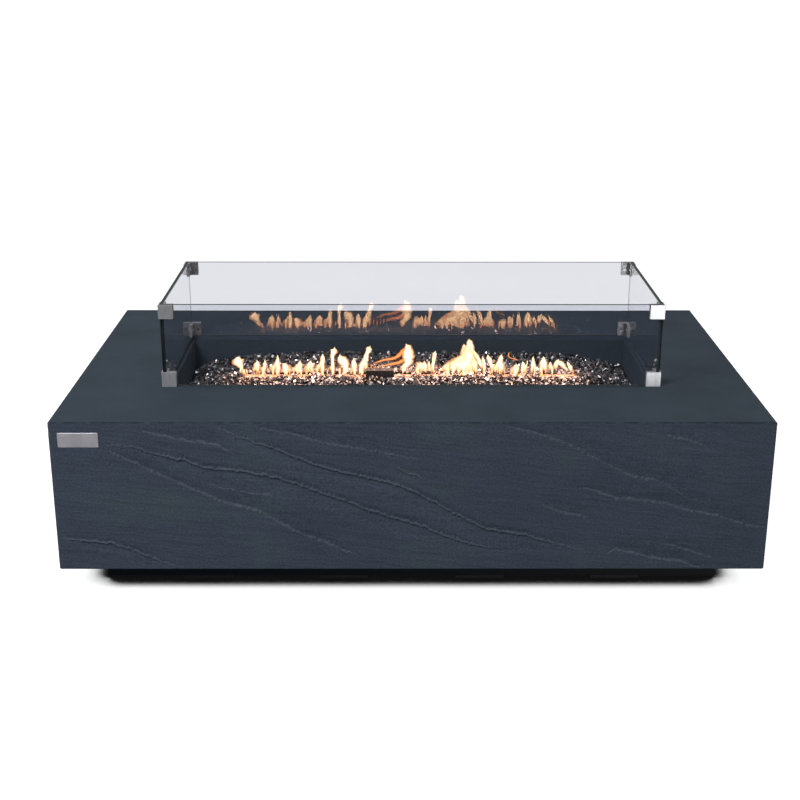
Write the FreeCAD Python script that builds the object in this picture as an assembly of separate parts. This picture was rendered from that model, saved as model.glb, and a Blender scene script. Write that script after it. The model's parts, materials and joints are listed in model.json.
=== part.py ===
import FreeCAD, Part
import math
import os
import random

# Fire pit table: a hollow glass-fibre concrete body with a gas burner in its top
# and a lift-off glass wind guard round the burner.
# Units are millimetres. X runs along the table, the front looks towards -Y, Z is up,
# and the origin is on the floor under the middle of the table.

# Concrete body
table_length = 1540.0
table_width = 900.0
table_height = 406.0
body_underside = 64.0
edge_arris = 2.5
wall = 14.0
slab = 22.0
lip_thickness = 20.0
throat_length = 1240.0
throat_width = 600.0
cavity_radius = 12.0

# Burner opening in the top
opening_from_end = 215.0
opening_from_front = 250.0
opening_ledge = 5.0
pan_drop = 8.0
rim_rib_width = 26.0
rim_rib_depth = 46.0

# Plinth and pads under the body
plinth_length = 1366.0
plinth_width = 732.0
plinth_flange = 40.0
plinth_sheet = 3.0
pad_length = 110.0
pad_width = 34.0
pad_height = 8.0
pad_inset = 4.0
front_pad_count = 4
side_pad_count = 2
pad_pitch = 306.0
hose_notch_width = 60.0
hose_notch_height = 38.0
hose_notch_from_back = 130.0
plinth_bolt_radius = 4.0
plinth_bolt_length = 16.0
plinth_bolt_head = 5.5
plinth_bolt_flats = 13.0
bolt_hole_gap = 0.5

# Name plate let into the front, without any marking
plate_length = 86.0
plate_height = 32.5
plate_thickness = 1.2
plate_from_left = 18.5
plate_from_top = 24.0
plate_gap = 0.4
plate_corner = 1.5

# Burner pan
pan_sheet = 1.5
pan_gap = 0.6
pan_depth = 88.0
pan_bend = 3.0
weep_radius = 3.0
weep_from_end = 60.0

# Burner tube and what feeds it
burner_radius = 12.7
burner_wall = 1.5
burner_length = 820.0
burner_axis_drop = 52.0
port_radius = 1.5
port_pitch = 20.0
end_cap_rim = 8.0
saddle_thickness = 3.0
saddle_width = 36.0
saddle_foot = 22.0
saddle_from_end = 90.0
saddle_open_below_axis = 2.0
nipple_radius = 10.65
nipple_bore = 7.5
nipple_below_pan = 24.0
locknut_flats = 30.0
locknut_height = 6.0
thread_gap = 0.06
mixer_radius = 16.0
mixer_length = 62.0
mixer_bore = 9.0
mixer_base = 5.0
mixer_below_nut = 2.0
mixer_edge = 1.0
air_window_width = 9.0
air_window_height = 18.0
orifice_flats = 17.0
orifice_head = 6.0
orifice_bore = 1.4
flare_radius = 7.94
flare_length = 14.0
hose_radius = 7.0
hose_nut_flats = 22.0
hose_nut_length = 20.0
hose_nut_clearance = 1.0
hose_sag = 96.0
hose_start_drop = 47.0
hose_shape = ((0.1, 0.04), (0.3, -0.03), (0.55, 0.02), (0.76, 0.4))

# Pilot beside the burner
pilot_length = 68.0
pilot_depth = 21.0
pilot_height = 46.0
pilot_sheet = 1.2
pilot_top_drop = 18.0
pilot_right_end = -40.0
pilot_to_tube = 1.5
pilot_slots = 5
pilot_slot_width = 3.0
pilot_leg_width = 14.0
electrode_radius = 3.5
electrode_tip_radius = 1.2
sensor_radius = 3.0
pilot_hole_gap = 0.15
igniter_lead_radius = 1.5
sensor_lead_radius = 1.25
grommet_radius = 5.0
grommet_height = 6.0
grommet_groove = 1.5
lead_gap = 0.2
lead_lane_drop = 20.0
lead_lane_offset = 8.0
lead_lane_step = 5.0
lead_clip_places = (130.0, 450.0)
lead_clip_length = 8.0
lead_clip_margin = 4.0
lead_straight = 64.0

# Fire glass
glass_centre_drop = 47.0
glass_end_drop = 84.0
glass_fall_power = 5
glass_edge_rise = 5.0
glass_heap = 9.0
glass_heap_reach = 60.0
glass_chip = 25.0
glass_relief = 5.0
glass_jitter = 0.25
glass_gap = 1.0
glass_seed = 7

# Control recess in the right short side
control_height = 232.0
control_depth = 28.0
control_width = 170.0
control_tall = 120.0
control_ledge = 12.0
control_ledge_thickness = 14.0
control_rim = 18.0
panel_sheet = 2.0
panel_gap = 1.0
panel_screw_inset = 7.0
panel_screw_radius = 2.0
panel_screw_head = 4.0
panel_screw_length = 12.0
panel_screw_socket = 2.4

# Gas valve, spindle and knob
valve_y = -30.0
valve_body_length = 44.0
valve_body_width = 34.0
valve_body_height = 34.0
valve_radius = 5.0
bonnet_length = 8.0
bonnet_radius = 12.0
valve_neck_radius = 7.0
valve_locknut_flats = 19.0
valve_locknut_height = 4.0
bezel_radius = 27.0
bezel_thickness = 1.5
bezel_marks = 11
bezel_mark_width = 1.2
stem_radius = 4.0
stem_flat = 1.0
running_gap = 0.05
knob_stroke = 4.0
stroke_spare = 1.0
knob_radius = 22.0
knob_depth = 18.0
knob_shell = 3.0
knob_recess = 1.5
knob_flutes = 12
knob_flute_radius = 3.0
knob_hub_radius = 7.5
knob_hub_depth = 6.0
knob_line_width = 2.0
knob_line_depth = 0.8
spring_wire = 0.8
spring_radius = 5.6
spring_turns = 5
washer_radius = 7.5
washer_thickness = 1.5
inlet_flats = 19.0
inlet_hex = 9.0
inlet_length = 16.0
inlet_cone = 3.0
inlet_tip_radius = 4.0
inlet_bore = 2.8

# Push-button igniter
igniter_y = 44.0
igniter_radius = 12.0
igniter_length = 66.0
igniter_neck_radius = 10.0
igniter_neck_length = 8.0
igniter_end_wall = 3.0
battery_radius = 7.1
battery_nub = 1.2
battery_length = 50.0
collar_radius = 15.0
collar_height = 4.0
button_radius = 8.0
button_length = 12.0
button_proud = 5.0
button_stroke = 3.0
button_dish = 1.0

# Glass wind guard
guard_beyond_opening = 2.0
guard_height = 189.0
pane_thickness = 8.0
pane_gap = 0.5
foot_height = 2.0
clip_height = 32.0
clip_sheet = 2.2
clip_inner_sheet = 2.5
clip_reach = 22.0
clip_round = 1.0
liner = 0.8
clip_screw_from_inside = 15.0
glass_hole_radius = 4.6
clip_boss_radius = 4.2
clip_screw_radius = 2.0
clip_screw_head = 4.2
clip_screw_head_height = 2.4
clip_screw_socket = 2.5
clip_hole_gap = 0.2

# Levels and faces that follow from the sizes above
end_x = table_length / 2
front_y = -table_width / 2
opening_length = table_length - 2 * opening_from_end
opening_width = table_width - 2 * opening_from_front
slab_underside = table_height - slab
lip_top = body_underside + lip_thickness
flange_top = table_height - pan_drop
rebate_floor = flange_top - pan_sheet
pan_length = opening_length - 2 * (opening_ledge + pan_gap)
pan_width = opening_width - 2 * (opening_ledge + pan_gap)
pan_underside = flange_top - pan_depth
pan_floor = pan_underside + pan_sheet
burner_z = table_height - burner_axis_drop
panel_back = end_x - control_depth
panel_front = panel_back + panel_sheet
neck_end = panel_front + bezel_thickness + valve_locknut_height
guard_length = opening_length + 2 * pane_thickness
guard_width = opening_width + 2 * (guard_beyond_opening + pane_thickness)
glass_underside = table_height + foot_height
glass_top = glass_underside + guard_height
valve_back = panel_back - bonnet_length - valve_body_length
pilot_centre_x = pilot_right_end - pilot_length / 2
pilot_top = table_height - pilot_top_drop
pilot_shelf = pilot_top - pilot_height
pilot_y = -burner_radius - pilot_to_tube - pilot_depth / 2
electrode_x = pilot_centre_x + pilot_length / 5
sensor_x = pilot_centre_x - pilot_length / 5
igniter_lane_y = pilot_y - 2.0
igniter_lane_z = pan_underside - lead_lane_drop
sensor_lane_y = igniter_lane_y - lead_lane_offset
sensor_lane_z = igniter_lane_z - lead_lane_step


def vec(x, y, z):
    """Point or direction."""
    return FreeCAD.Vector(x, y, z)


def block(x0, x1, y0, y1, z0, z1):
    """Box between two opposite corners."""
    return Part.makeBox(x1 - x0, y1 - y0, z1 - z0, vec(x0, y0, z0))


def centred_block(length, width, z0, z1):
    """Box centred over the origin in plan."""
    return block(-length / 2, length / 2, -width / 2, width / 2, z0, z1)


def rod(radius, start, direction, length):
    """Cylinder from a start point along a direction."""
    return Part.makeCylinder(radius, length, vec(*start), vec(*direction))


def tube(outer, inner, start, direction, length):
    """Cylinder with a bore through it."""
    return rod(outer, start, direction, length).cut(rod(inner, start, direction, length))


def hexagon(across_flats, start, direction, length):
    """Six-sided prism, such as a nut or a bolt head."""
    corner = across_flats / math.sqrt(3)
    turns = [math.radians(60 * k + 30) for k in range(7)]
    points = [vec(corner * math.cos(a), corner * math.sin(a), 0) for a in turns]
    prism = Part.Face(Part.makePolygon(points)).extrude(vec(0, 0, length))
    turn = FreeCAD.Rotation(vec(0, 0, 1), vec(*direction))
    prism.Placement = FreeCAD.Placement(vec(*start), turn)
    return prism


def nut(across_flats, bore, start, direction, length):
    """Hexagon with a bore."""
    return hexagon(across_flats, start, direction, length).cut(rod(bore, start, direction, length))


def cut_all(shape, tools):
    """Shape less every tool."""
    return shape.cut(Part.makeCompound(tools))


def upright_edges(shape):
    """Edges of a box-like shape that stand along Z."""
    found = []
    for edge in shape.Edges:
        first = edge.Vertexes[0].Point
        last = edge.Vertexes[-1].Point
        if abs(first.x - last.x) < 1e-6 and abs(first.y - last.y) < 1e-6:
            found.append(edge)
    return found


def edges_at(shape, axis, level):
    """Edges that lie wholly in the plane where x, y or z has a value."""
    return [e for e in shape.Edges if all(abs(getattr(v.Point, axis) - level) < 1e-6 for v in e.Vertexes)]


def rounded_block(length, width, z0, z1, radius):
    """Centred box with its four upright edges rounded."""
    body = centred_block(length, width, z0, z1)
    return body.makeFillet(radius, upright_edges(body))


def route_tube(points, radius, bend_share=0.45):
    """Round tube along straight runs that are joined by tangent arcs."""
    points = [vec(*p) for p in points]
    edges = []
    radii = []
    start = points[0]
    for before, corner, after in zip(points, points[1:], points[2:]):
        run_in = (before - corner).normalize()
        run_out = (after - corner).normalize()
        shorter = min((before - corner).Length, (after - corner).Length)
        half_turn = (math.pi - run_in.getAngle(run_out)) / 2
        setback = bend_share * shorter
        bend = setback / math.tan(half_turn)
        arc_start = corner + run_in * setback
        arc_end = corner + run_out * setback
        inward = (run_in + run_out).normalize()
        middle = corner + inward * (bend / math.cos(half_turn) - bend)
        edges.append(Part.LineSegment(start, arc_start).toShape())
        edges.append(Part.Arc(arc_start, middle, arc_end).toShape())
        radii.append(round(bend))
        start = arc_end
    edges.append(Part.LineSegment(start, points[-1]).toShape())
    path = Part.Wire(edges)
    section = Part.Wire([Part.makeCircle(radius, points[0], points[1] - points[0])])
    solid = path.makePipeShell([section], True, False)
    filled = solid.Volume / (math.pi * radius ** 2 * path.Length)
    print("route length", round(path.Length), "bend radii", radii, "volume ratio", round(filled, 4))
    return solid


# Concrete body

def outer_body():
    """Outer block of the concrete body with its small arris."""
    body = centred_block(table_length, table_width, body_underside, table_height)
    return body.makeChamfer(edge_arris, body.Edges)


def inner_hollow():
    """Space inside the walls, open below through the throat."""
    inner_length = table_length - 2 * wall
    inner_width = table_width - 2 * wall
    room = rounded_block(inner_length, inner_width, lip_top, slab_underside, cavity_radius)
    throat = rounded_block(throat_length, throat_width, body_underside - 1, lip_top + 1, cavity_radius)
    return room.fuse(throat)


def rim_rib():
    """Thickened rim under the slab round the burner opening."""
    rib_length = opening_length + 2 * rim_rib_width
    rib_width = opening_width + 2 * rim_rib_width
    return centred_block(rib_length, rib_width, table_height - rim_rib_depth, slab_underside)


def control_block(width, height, x0, x1):
    """Block centred on the control recess, between two planes across X."""
    low = control_height - height / 2
    return block(x0, x1, -width / 2, width / 2, low, low + height)


def plinth_bolt_places():
    """Points in plan where the plinth is bolted to the shell's lip."""
    across = plinth_width / 2 - plinth_flange / 2
    along = plinth_length / 2 - plinth_flange / 2
    places = [(sx * plinth_length / 4, sy * across) for sx in (-1, 1) for sy in (-1, 1)]
    places += [(sx * along, sy * plinth_width / 4) for sx in (-1, 1) for sy in (-1, 1)]
    return places


def panel_screw_places():
    """Points across the control panel where its corner screws sit."""
    across = control_width / 2 - panel_gap - panel_screw_inset
    up = control_tall / 2 - panel_gap - panel_screw_inset
    return [(sy * across, control_height + sz * up) for sy in (-1, 1) for sz in (-1, 1)]


def make_shell():
    """Hollow body: walls, top slab, inward lip, burner opening and control recess."""
    body = outer_body().cut(inner_hollow()).fuse(rim_rib())
    rim_depth = control_depth + control_ledge_thickness
    frame_width = control_width + 2 * control_rim
    frame_height = control_tall + 2 * control_rim
    body = body.fuse(control_block(frame_width, frame_height, end_x - rim_depth, end_x - wall))
    through_length = opening_length - 2 * opening_ledge
    through_width = opening_width - 2 * opening_ledge
    cuts = [
        centred_block(opening_length, opening_width, rebate_floor, table_height + 1),
        centred_block(through_length, through_width, slab_underside - rim_rib_depth, table_height),
        control_block(control_width, control_tall, panel_back, end_x + 1),
        control_block(control_width - 2 * control_ledge, control_tall - 2 * control_ledge,
                      end_x - rim_depth - 1, end_x),
        name_plate_block(plate_gap),
    ]
    for x, y in plinth_bolt_places():
        start = (x, y, body_underside - 1)
        cuts.append(rod(plinth_bolt_radius + thread_gap, start, (0, 0, 1), plinth_bolt_length))
    for y, z in panel_screw_places():
        start = (panel_back + 1, y, z)
        cuts.append(rod(panel_screw_radius + thread_gap, start, (-1, 0, 0), panel_screw_length))
    return cut_all(body, cuts).removeSplitter()


# Plinth

def make_plinth():
    """Channel-section ring with a notch for the supply hose in its left side."""
    top = body_underside
    outer = centred_block(plinth_length, plinth_width, pad_height, top)
    channel = centred_block(plinth_length - 2 * plinth_sheet, plinth_width - 2 * plinth_sheet,
                            pad_height + plinth_sheet, top - plinth_sheet)
    hole = centred_block(plinth_length - 2 * plinth_flange, plinth_width - 2 * plinth_flange,
                         pad_height - 1, top + 1)
    notch_y = plinth_width / 2 - hose_notch_from_back
    notch = block(-plinth_length / 2 - 1, -plinth_length / 2 + plinth_flange + 1,
                  notch_y - hose_notch_width / 2, notch_y + hose_notch_width / 2,
                  pad_height - 1, pad_height + hose_notch_height)
    cuts = [channel, hole, notch]
    for x, y in plinth_bolt_places():
        start = (x, y, top - 2 * plinth_sheet)
        cuts.append(rod(plinth_bolt_radius + bolt_hole_gap, start, (0, 0, 1), 3 * plinth_sheet))
    return cut_all(outer, cuts)


def make_plinth_bolts():
    """Bolts from below the top flange up into the lip."""
    seat = body_underside - plinth_sheet
    bolts = []
    for x, y in plinth_bolt_places():
        head = hexagon(plinth_bolt_flats, (x, y, seat), (0, 0, -1), plinth_bolt_head)
        shank = rod(plinth_bolt_radius, (x, y, seat - plinth_bolt_head / 2), (0, 0, 1), plinth_bolt_length)
        bolts.append(head.fuse(shank))
    return Part.makeCompound(bolts)


def evenly_spaced(pitch, count):
    """Places along a line at a steady pitch about its middle."""
    return [pitch * (k - (count - 1) / 2) for k in range(count)]


def make_plinth_pads():
    """Rubber pads under the bottom flange."""
    along = plinth_length / 2 - pad_inset - pad_width / 2
    across = plinth_width / 2 - pad_inset - pad_width / 2
    long_pad = rounded_block(pad_length, pad_width, 0, pad_height, pad_height / 4)
    cross_pad = rounded_block(pad_width, pad_length, 0, pad_height, pad_height / 4)
    pads = []
    for side in (-1, 1):
        for x in evenly_spaced(pad_pitch, front_pad_count):
            pads.append(long_pad.translated(vec(x, side * across, 0)))
        for y in evenly_spaced(pad_pitch, side_pad_count):
            pads.append(cross_pad.translated(vec(side * along, y, 0)))
    return Part.makeCompound(pads)


# Name plate

def name_plate_block(gap):
    """Block of the name plate or, with a gap, of its pocket."""
    left = -end_x + plate_from_left
    top = table_height - plate_from_top
    return block(left - gap, left + plate_length + gap, front_y, front_y + plate_thickness,
                 top - plate_height - gap, top + gap)


def make_name_plate():
    """Bare plate with rounded corners and a fine bevel round its face."""
    plate = name_plate_block(0)
    across = [e for e in plate.Edges if abs(e.Vertexes[0].Y - e.Vertexes[-1].Y) > plate_thickness / 2]
    plate = plate.makeFillet(plate_corner, across)
    return plate.makeChamfer(plate_thickness / 4, edges_at(plate, "y", front_y))


# Burner pan

def make_burner_pan():
    """Folded tray with a flange that lies in the rebate of the opening."""
    tub = centred_block(pan_length, pan_width, pan_underside, flange_top)
    tub = tub.makeFillet(pan_bend, edges_at(tub, "z", pan_underside))
    inner_length = pan_length - 2 * pan_sheet
    inner_width = pan_width - 2 * pan_sheet
    inside = centred_block(inner_length, inner_width, pan_floor, flange_top + pan_bend)
    inside = inside.makeFillet(pan_bend - pan_sheet, edges_at(inside, "z", pan_floor))
    flange_length = opening_length - 2 * pan_gap
    flange_width = opening_width - 2 * pan_gap
    flange = centred_block(flange_length, flange_width, rebate_floor, flange_top)
    pan = flange.fuse(tub).cut(inside)
    wanted = [(nipple_radius + thread_gap, 0, 0)]
    wanted += [(grommet_radius - grommet_groove, x, pilot_y) for x in (electrode_x, sensor_x)]
    weep_x = pan_length / 2 - weep_from_end
    weep_y = pan_width / 2 - weep_from_end
    wanted += [(weep_radius, sx * weep_x, sy * weep_y) for sx in (-1, 1) for sy in (-1, 1)]
    below = pan_underside - 1
    return cut_all(pan, [rod(radius, (x, y, below), (0, 0, 1), pan_sheet + 2) for radius, x, y in wanted])


# Burner

def port_places():
    """Places along the tube of the ports in its top."""
    count = int((burner_length - 2 * end_cap_rim - port_pitch) / port_pitch)
    return [(k - (count - 1) / 2) * port_pitch for k in range(count)]


def make_burner_tube():
    """Ported tube, fed from below at its middle."""
    start = (-burner_length / 2 + burner_wall, 0, burner_z)
    body = tube(burner_radius, burner_radius - burner_wall, start, (1, 0, 0), burner_length - 2 * burner_wall)
    holes = [rod(nipple_bore, (0, 0, burner_z), (0, 0, -1), burner_radius + 1)]
    for x in port_places():
        holes.append(rod(port_radius, (x, 0, burner_z), (0, 0, 1), burner_radius + 1))
    return cut_all(body, holes)


def make_burner_end_caps():
    """Pressed caps that close the tube's two ends."""
    caps = []
    for side in (-1, 1):
        outer_end = side * burner_length / 2
        cap = rod(burner_radius, (outer_end, 0, burner_z), (-side, 0, 0), burner_wall)
        plug = tube(burner_radius - burner_wall - thread_gap, burner_radius - 2 * burner_wall,
                    (outer_end - side * burner_wall, 0, burner_z), (-side, 0, 0), end_cap_rim)
        caps.append(cap.fuse(plug))
    return Part.makeCompound(caps)


def make_burner_saddles():
    """Notched plates on feet that carry the tube above the pan floor."""
    saddles = []
    for side in (-1, 1):
        x = side * (burner_length / 2 - saddle_from_end)
        plate = block(x - saddle_thickness / 2, x + saddle_thickness / 2, -saddle_width / 2, saddle_width / 2,
                      pan_floor, burner_z - saddle_open_below_axis)
        foot = block(x - saddle_foot / 2, x + saddle_foot / 2, -saddle_width / 2, saddle_width / 2,
                     pan_floor, pan_floor + saddle_thickness)
        notch = rod(burner_radius, (x - saddle_foot, 0, burner_z), (1, 0, 0), 2 * saddle_foot)
        saddles.append(plate.fuse(foot).cut(notch).removeSplitter())
    return Part.makeCompound(saddles)


def nipple_bottom():
    """Level of the feed pipe's lower end."""
    return pan_underside - nipple_below_pan


def make_feed_nipple():
    """Pipe from the middle of the tube down through the pan floor."""
    pipe = tube(nipple_radius, nipple_bore, (0, 0, nipple_bottom()), (0, 0, 1), burner_z - nipple_bottom())
    along = rod(burner_radius, (-burner_radius * 2, 0, burner_z), (1, 0, 0), burner_radius * 4)
    return pipe.cut(along)


def make_feed_locknuts():
    """Nuts that clamp the feed pipe to the pan floor from both sides."""
    bore = nipple_radius + thread_gap
    upper = nut(locknut_flats, bore, (0, 0, pan_floor), (0, 0, 1), locknut_height)
    lower = nut(locknut_flats, bore, (0, 0, pan_underside), (0, 0, -1), locknut_height)
    return Part.makeCompound([upper, lower])


def mixer_top():
    """Level where the mixer's socket ends below the locknut."""
    return pan_underside - locknut_height - mixer_below_nut


def mixer_bottom():
    """Level of the mixer's closed end."""
    return mixer_top() - mixer_length


def make_air_mixer():
    """Venturi body: socket on the feed pipe, four air windows, closed base with the orifice hole."""
    body = rod(mixer_radius, (0, 0, mixer_bottom()), (0, 0, 1), mixer_length)
    body = body.makeChamfer(mixer_edge, [e for e in body.Edges if e.Closed])
    chamber_bottom = mixer_bottom() + mixer_base
    cuts = [
        rod(nipple_radius + thread_gap, (0, 0, nipple_bottom()), (0, 0, 1), mixer_length),
        rod(mixer_bore, (0, 0, chamber_bottom), (0, 0, 1), mixer_length - mixer_base),
        rod(flare_radius + thread_gap, (0, 0, mixer_bottom() - 1), (0, 0, 1), mixer_base + 2),
    ]
    window_bottom = chamber_bottom + air_window_width / 2
    window_top = window_bottom + air_window_height
    through = 2 * mixer_radius + 2
    cuts.append(centred_block(through, air_window_width, window_bottom, window_top))
    cuts.append(centred_block(air_window_width, through, window_bottom, window_top))
    return cut_all(body, cuts)


def orifice_bottom():
    """Level of the orifice fitting's lower end."""
    return mixer_bottom() - orifice_head - flare_length


def make_gas_orifice():
    """Brass fitting with a jet: it screws into the mixer's base and takes the hose below."""
    head = hexagon(orifice_flats, (0, 0, mixer_bottom()), (0, 0, -1), orifice_head)
    thread = rod(flare_radius, (0, 0, mixer_bottom() - 1), (0, 0, 1), mixer_base + 1)
    flare = rod(flare_radius, (0, 0, orifice_bottom()), (0, 0, 1), flare_length)
    body = head.fuse(thread).fuse(flare)
    jet = rod(orifice_bore, (0, 0, orifice_bottom() - 1), (0, 0, 1), 2 * mixer_length)
    return body.cut(jet)


def valve_outlet_x():
    """Plane of the valve outlet's end."""
    return valve_back - flare_length


def nut_overhang():
    """Length of a hose nut that reaches past the end of its flare fitting."""
    return hose_nut_length - flare_length + hose_nut_clearance


def hose_ends():
    """The hose's two ends, at the back of its nuts."""
    low_end = (0, 0, orifice_bottom() - nut_overhang())
    return low_end, (valve_outlet_x() - nut_overhang(), valve_y, control_height)


def make_burner_hose():
    """Flexible connector that sags from the valve to the mixer."""
    (x0, y0, z0), (x1, y1, z1) = hose_ends()
    low = control_height - hose_sag
    span = x1 - x0
    points = [(x0, y0, z0), (x0, y0, z0 - hose_start_drop)]
    for along, rise in hose_shape:
        points.append((x0 + along * span, y1 * along, low + rise * hose_sag))
    points += [(x1 - hose_start_drop, y1, z1), (x1, y1, z1)]
    return route_tube(points, hose_radius)


def make_hose_nuts():
    """Flare nuts at both ends of the hose."""
    (x0, y0, z0), (x1, y1, z1) = hose_ends()
    nuts = []
    for start, direction in (((x0, y0, z0), (0, 0, 1)), ((x1, y1, z1), (1, 0, 0))):
        body = hexagon(hose_nut_flats, start, direction, hose_nut_length)
        seat = vec(*start) + vec(*direction) * nut_overhang()
        socket = rod(flare_radius + thread_gap, tuple(seat), direction, hose_nut_length)
        passage = rod(hose_radius / 2, start, direction, hose_nut_length)
        nuts.append(cut_all(body, [socket, passage]))
    return Part.makeCompound(nuts)


# Pilot

def make_pilot_shield():
    """Folded box open at the back, with slots in its top and a leg down to the pan floor."""
    x0 = pilot_centre_x - pilot_length / 2
    x1 = pilot_centre_x + pilot_length / 2
    y0 = pilot_y - pilot_depth / 2
    y1 = pilot_y + pilot_depth / 2
    box = block(x0, x1, y0, y1, pilot_shelf, pilot_top)
    box = box.makeFillet(pilot_sheet, edges_at(box, "y", y0))
    inside = block(x0 + pilot_sheet, x1 - pilot_sheet, y0 + pilot_sheet, y1 + 1,
                   pilot_shelf + pilot_sheet, pilot_top - pilot_sheet)
    leg_x = pilot_centre_x - pilot_leg_width / 2
    leg_end = leg_x + pilot_leg_width
    leg = block(leg_x, leg_end, y0, y0 + pilot_sheet, pan_floor, pilot_shelf + pilot_height / 2)
    foot = block(leg_x, leg_end, y0 - pilot_leg_width, y0 + pilot_sheet, pan_floor, pan_floor + pilot_sheet)
    cuts = []
    for x, radius in ((electrode_x, electrode_radius), (sensor_x, sensor_radius)):
        start = (x, pilot_y, pilot_shelf - 1)
        cuts.append(rod(radius + pilot_hole_gap, start, (0, 0, 1), 3 * pilot_sheet))
    for x in evenly_spaced(pilot_length / (pilot_slots + 1), pilot_slots):
        centre = pilot_centre_x + x
        cuts.append(block(centre - pilot_slot_width / 2, centre + pilot_slot_width / 2,
                          y0 + 3 * pilot_sheet, y1 - 3 * pilot_sheet,
                          pilot_top - 2 * pilot_sheet, pilot_top + 1))
    return cut_all(box.cut(inside).fuse(leg).fuse(foot), cuts).removeSplitter()


def electrode_bottom():
    """Level of the electrode's lower end, clear above the pan floor."""
    return (pan_floor + pilot_shelf) / 2


def make_spark_electrode():
    """Ceramic with a collar, a rod above it and a tip bent towards the burner."""
    start = (electrode_x, pilot_y, electrode_bottom())
    collar_z = pilot_shelf + pilot_sheet
    ceramic = rod(electrode_radius, start, (0, 0, 1), pilot_shelf + pilot_height / 2 - electrode_bottom())
    collar = rod(electrode_radius * 1.5, (electrode_x, pilot_y, collar_z), (0, 0, 1), electrode_radius)
    rod_top = pilot_top - 4 * pilot_sheet
    spark_rod = rod(electrode_tip_radius, start, (0, 0, 1), rod_top - electrode_bottom())
    bend = (electrode_x, pilot_y, rod_top - electrode_tip_radius)
    tip = rod(electrode_tip_radius, bend, (0, 1, 0), pilot_depth / 2)
    return ceramic.fuse(collar).fuse(spark_rod).fuse(tip)


def make_flame_sensor():
    """Thermocouple with a rounded tip and a clamping collar."""
    length = pilot_top - 6 * pilot_sheet - electrode_bottom()
    body = rod(sensor_radius, (sensor_x, pilot_y, electrode_bottom()), (0, 0, 1), length)
    tip_edge = [e for e in body.Edges if e.Closed and e.CenterOfMass.z > pilot_shelf + pilot_height / 2]
    body = body.makeFillet(sensor_radius * 0.9, tip_edge)
    collar_place = (sensor_x, pilot_y, pilot_shelf + pilot_sheet)
    collar = hexagon(sensor_radius * 3, collar_place, (0, 0, 1), sensor_radius)
    return body.fuse(collar)


def make_lead_grommets():
    """Rubber grommets that take the two leads through the pan floor."""
    bottom = pan_underside - (grommet_height - pan_sheet) / 2
    grommets = []
    for x, lead_radius in ((electrode_x, igniter_lead_radius), (sensor_x, sensor_lead_radius)):
        body = rod(grommet_radius, (x, pilot_y, bottom), (0, 0, 1), grommet_height)
        neck = grommet_radius - grommet_groove
        groove = tube(grommet_radius + 1, neck, (x, pilot_y, pan_underside), (0, 0, 1), pan_sheet)
        hole = rod(lead_radius + lead_gap, (x, pilot_y, bottom - 1), (0, 0, 1), 2 * grommet_height)
        grommets.append(cut_all(body, [groove, hole]))
    return Part.makeCompound(grommets)


def lead_route(pilot_x, lane_y, lane_z, end):
    """Route of a lead: down from the pilot through the pan, along its clips, then to the panel."""
    panel_end, end_y, end_z = end
    first_clip, last_clip = lead_clip_places
    return [
        (pilot_x, pilot_y, electrode_bottom()),
        (pilot_x, pilot_y, lane_z),
        (first_clip - lead_straight, lane_y, lane_z),
        (last_clip + lead_straight, lane_y, lane_z),
        (panel_end - lead_straight, end_y, end_z),
        (panel_end, end_y, end_z),
    ]


def make_igniter_lead():
    """Insulated spark lead from the igniter to the electrode."""
    end = (igniter_back(), igniter_y, control_height)
    return route_tube(lead_route(electrode_x, igniter_lane_y, igniter_lane_z, end), igniter_lead_radius)


def make_sensor_lead():
    """Copper lead from the flame sensor to the valve."""
    side = valve_body_width / 2 - valve_radius
    up = valve_body_height / 2 - valve_radius
    end = (valve_back, valve_y - side, control_height + up)
    return route_tube(lead_route(sensor_x, sensor_lane_y, sensor_lane_z, end), sensor_lead_radius)


def make_lead_clips():
    """Blocks under the pan that hold both leads side by side."""
    low = sensor_lane_z - sensor_lead_radius - lead_clip_margin
    near = igniter_lane_y + igniter_lead_radius + lead_clip_margin
    far = sensor_lane_y - sensor_lead_radius - lead_clip_margin
    lanes = [(igniter_lead_radius, igniter_lane_y, igniter_lane_z)]
    lanes.append((sensor_lead_radius, sensor_lane_y, sensor_lane_z))
    clips = []
    for x in lead_clip_places:
        start = x - lead_clip_length / 2
        body = block(start, start + lead_clip_length, far, near, low, pan_underside)
        body = body.makeFillet(lead_clip_margin / 2, edges_at(body, "z", low))
        for radius, y, z in lanes:
            body = body.cut(rod(radius + lead_gap, (start - 1, y, z), (1, 0, 0), lead_clip_length + 2))
        clips.append(body)
    return Part.makeCompound(clips)


# Fire glass

def glass_level(x, y):
    """Mean height of the fire glass: mounded in the middle, heaped against the tube, up at the edges."""
    half_length = pan_length / 2
    half_width = pan_width / 2
    centre = table_height - glass_centre_drop
    fall = (glass_end_drop - glass_centre_drop) * abs(x / half_length) ** glass_fall_power
    heap = glass_heap * max(0.0, 1 - abs(y) / glass_heap_reach)
    return centre - fall + heap + glass_edge_rise * (y / half_width) ** 2


def glass_grid(count_x, count_y, length, width):
    """Corner points of the broken upper surface, jittered except along the pan walls."""
    draw = random.Random(glass_seed)
    rows = []
    for j in range(count_y + 1):
        row = []
        for i in range(count_x + 1):
            x = length * (i / count_x - 0.5)
            y = width * (j / count_y - 0.5)
            lift = draw.uniform(-glass_relief, glass_relief)
            shift = glass_chip * draw.uniform(-glass_jitter, glass_jitter)
            if 0 < i < count_x and 0 < j < count_y:
                x += shift
                y -= shift
            row.append(vec(x, y, glass_level(x, y) + lift))
        rows.append(row)
    return rows


def polygon_face(points):
    """Flat face through a loop of points."""
    return Part.Face(Part.makePolygon(points + [points[0]]))


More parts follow.
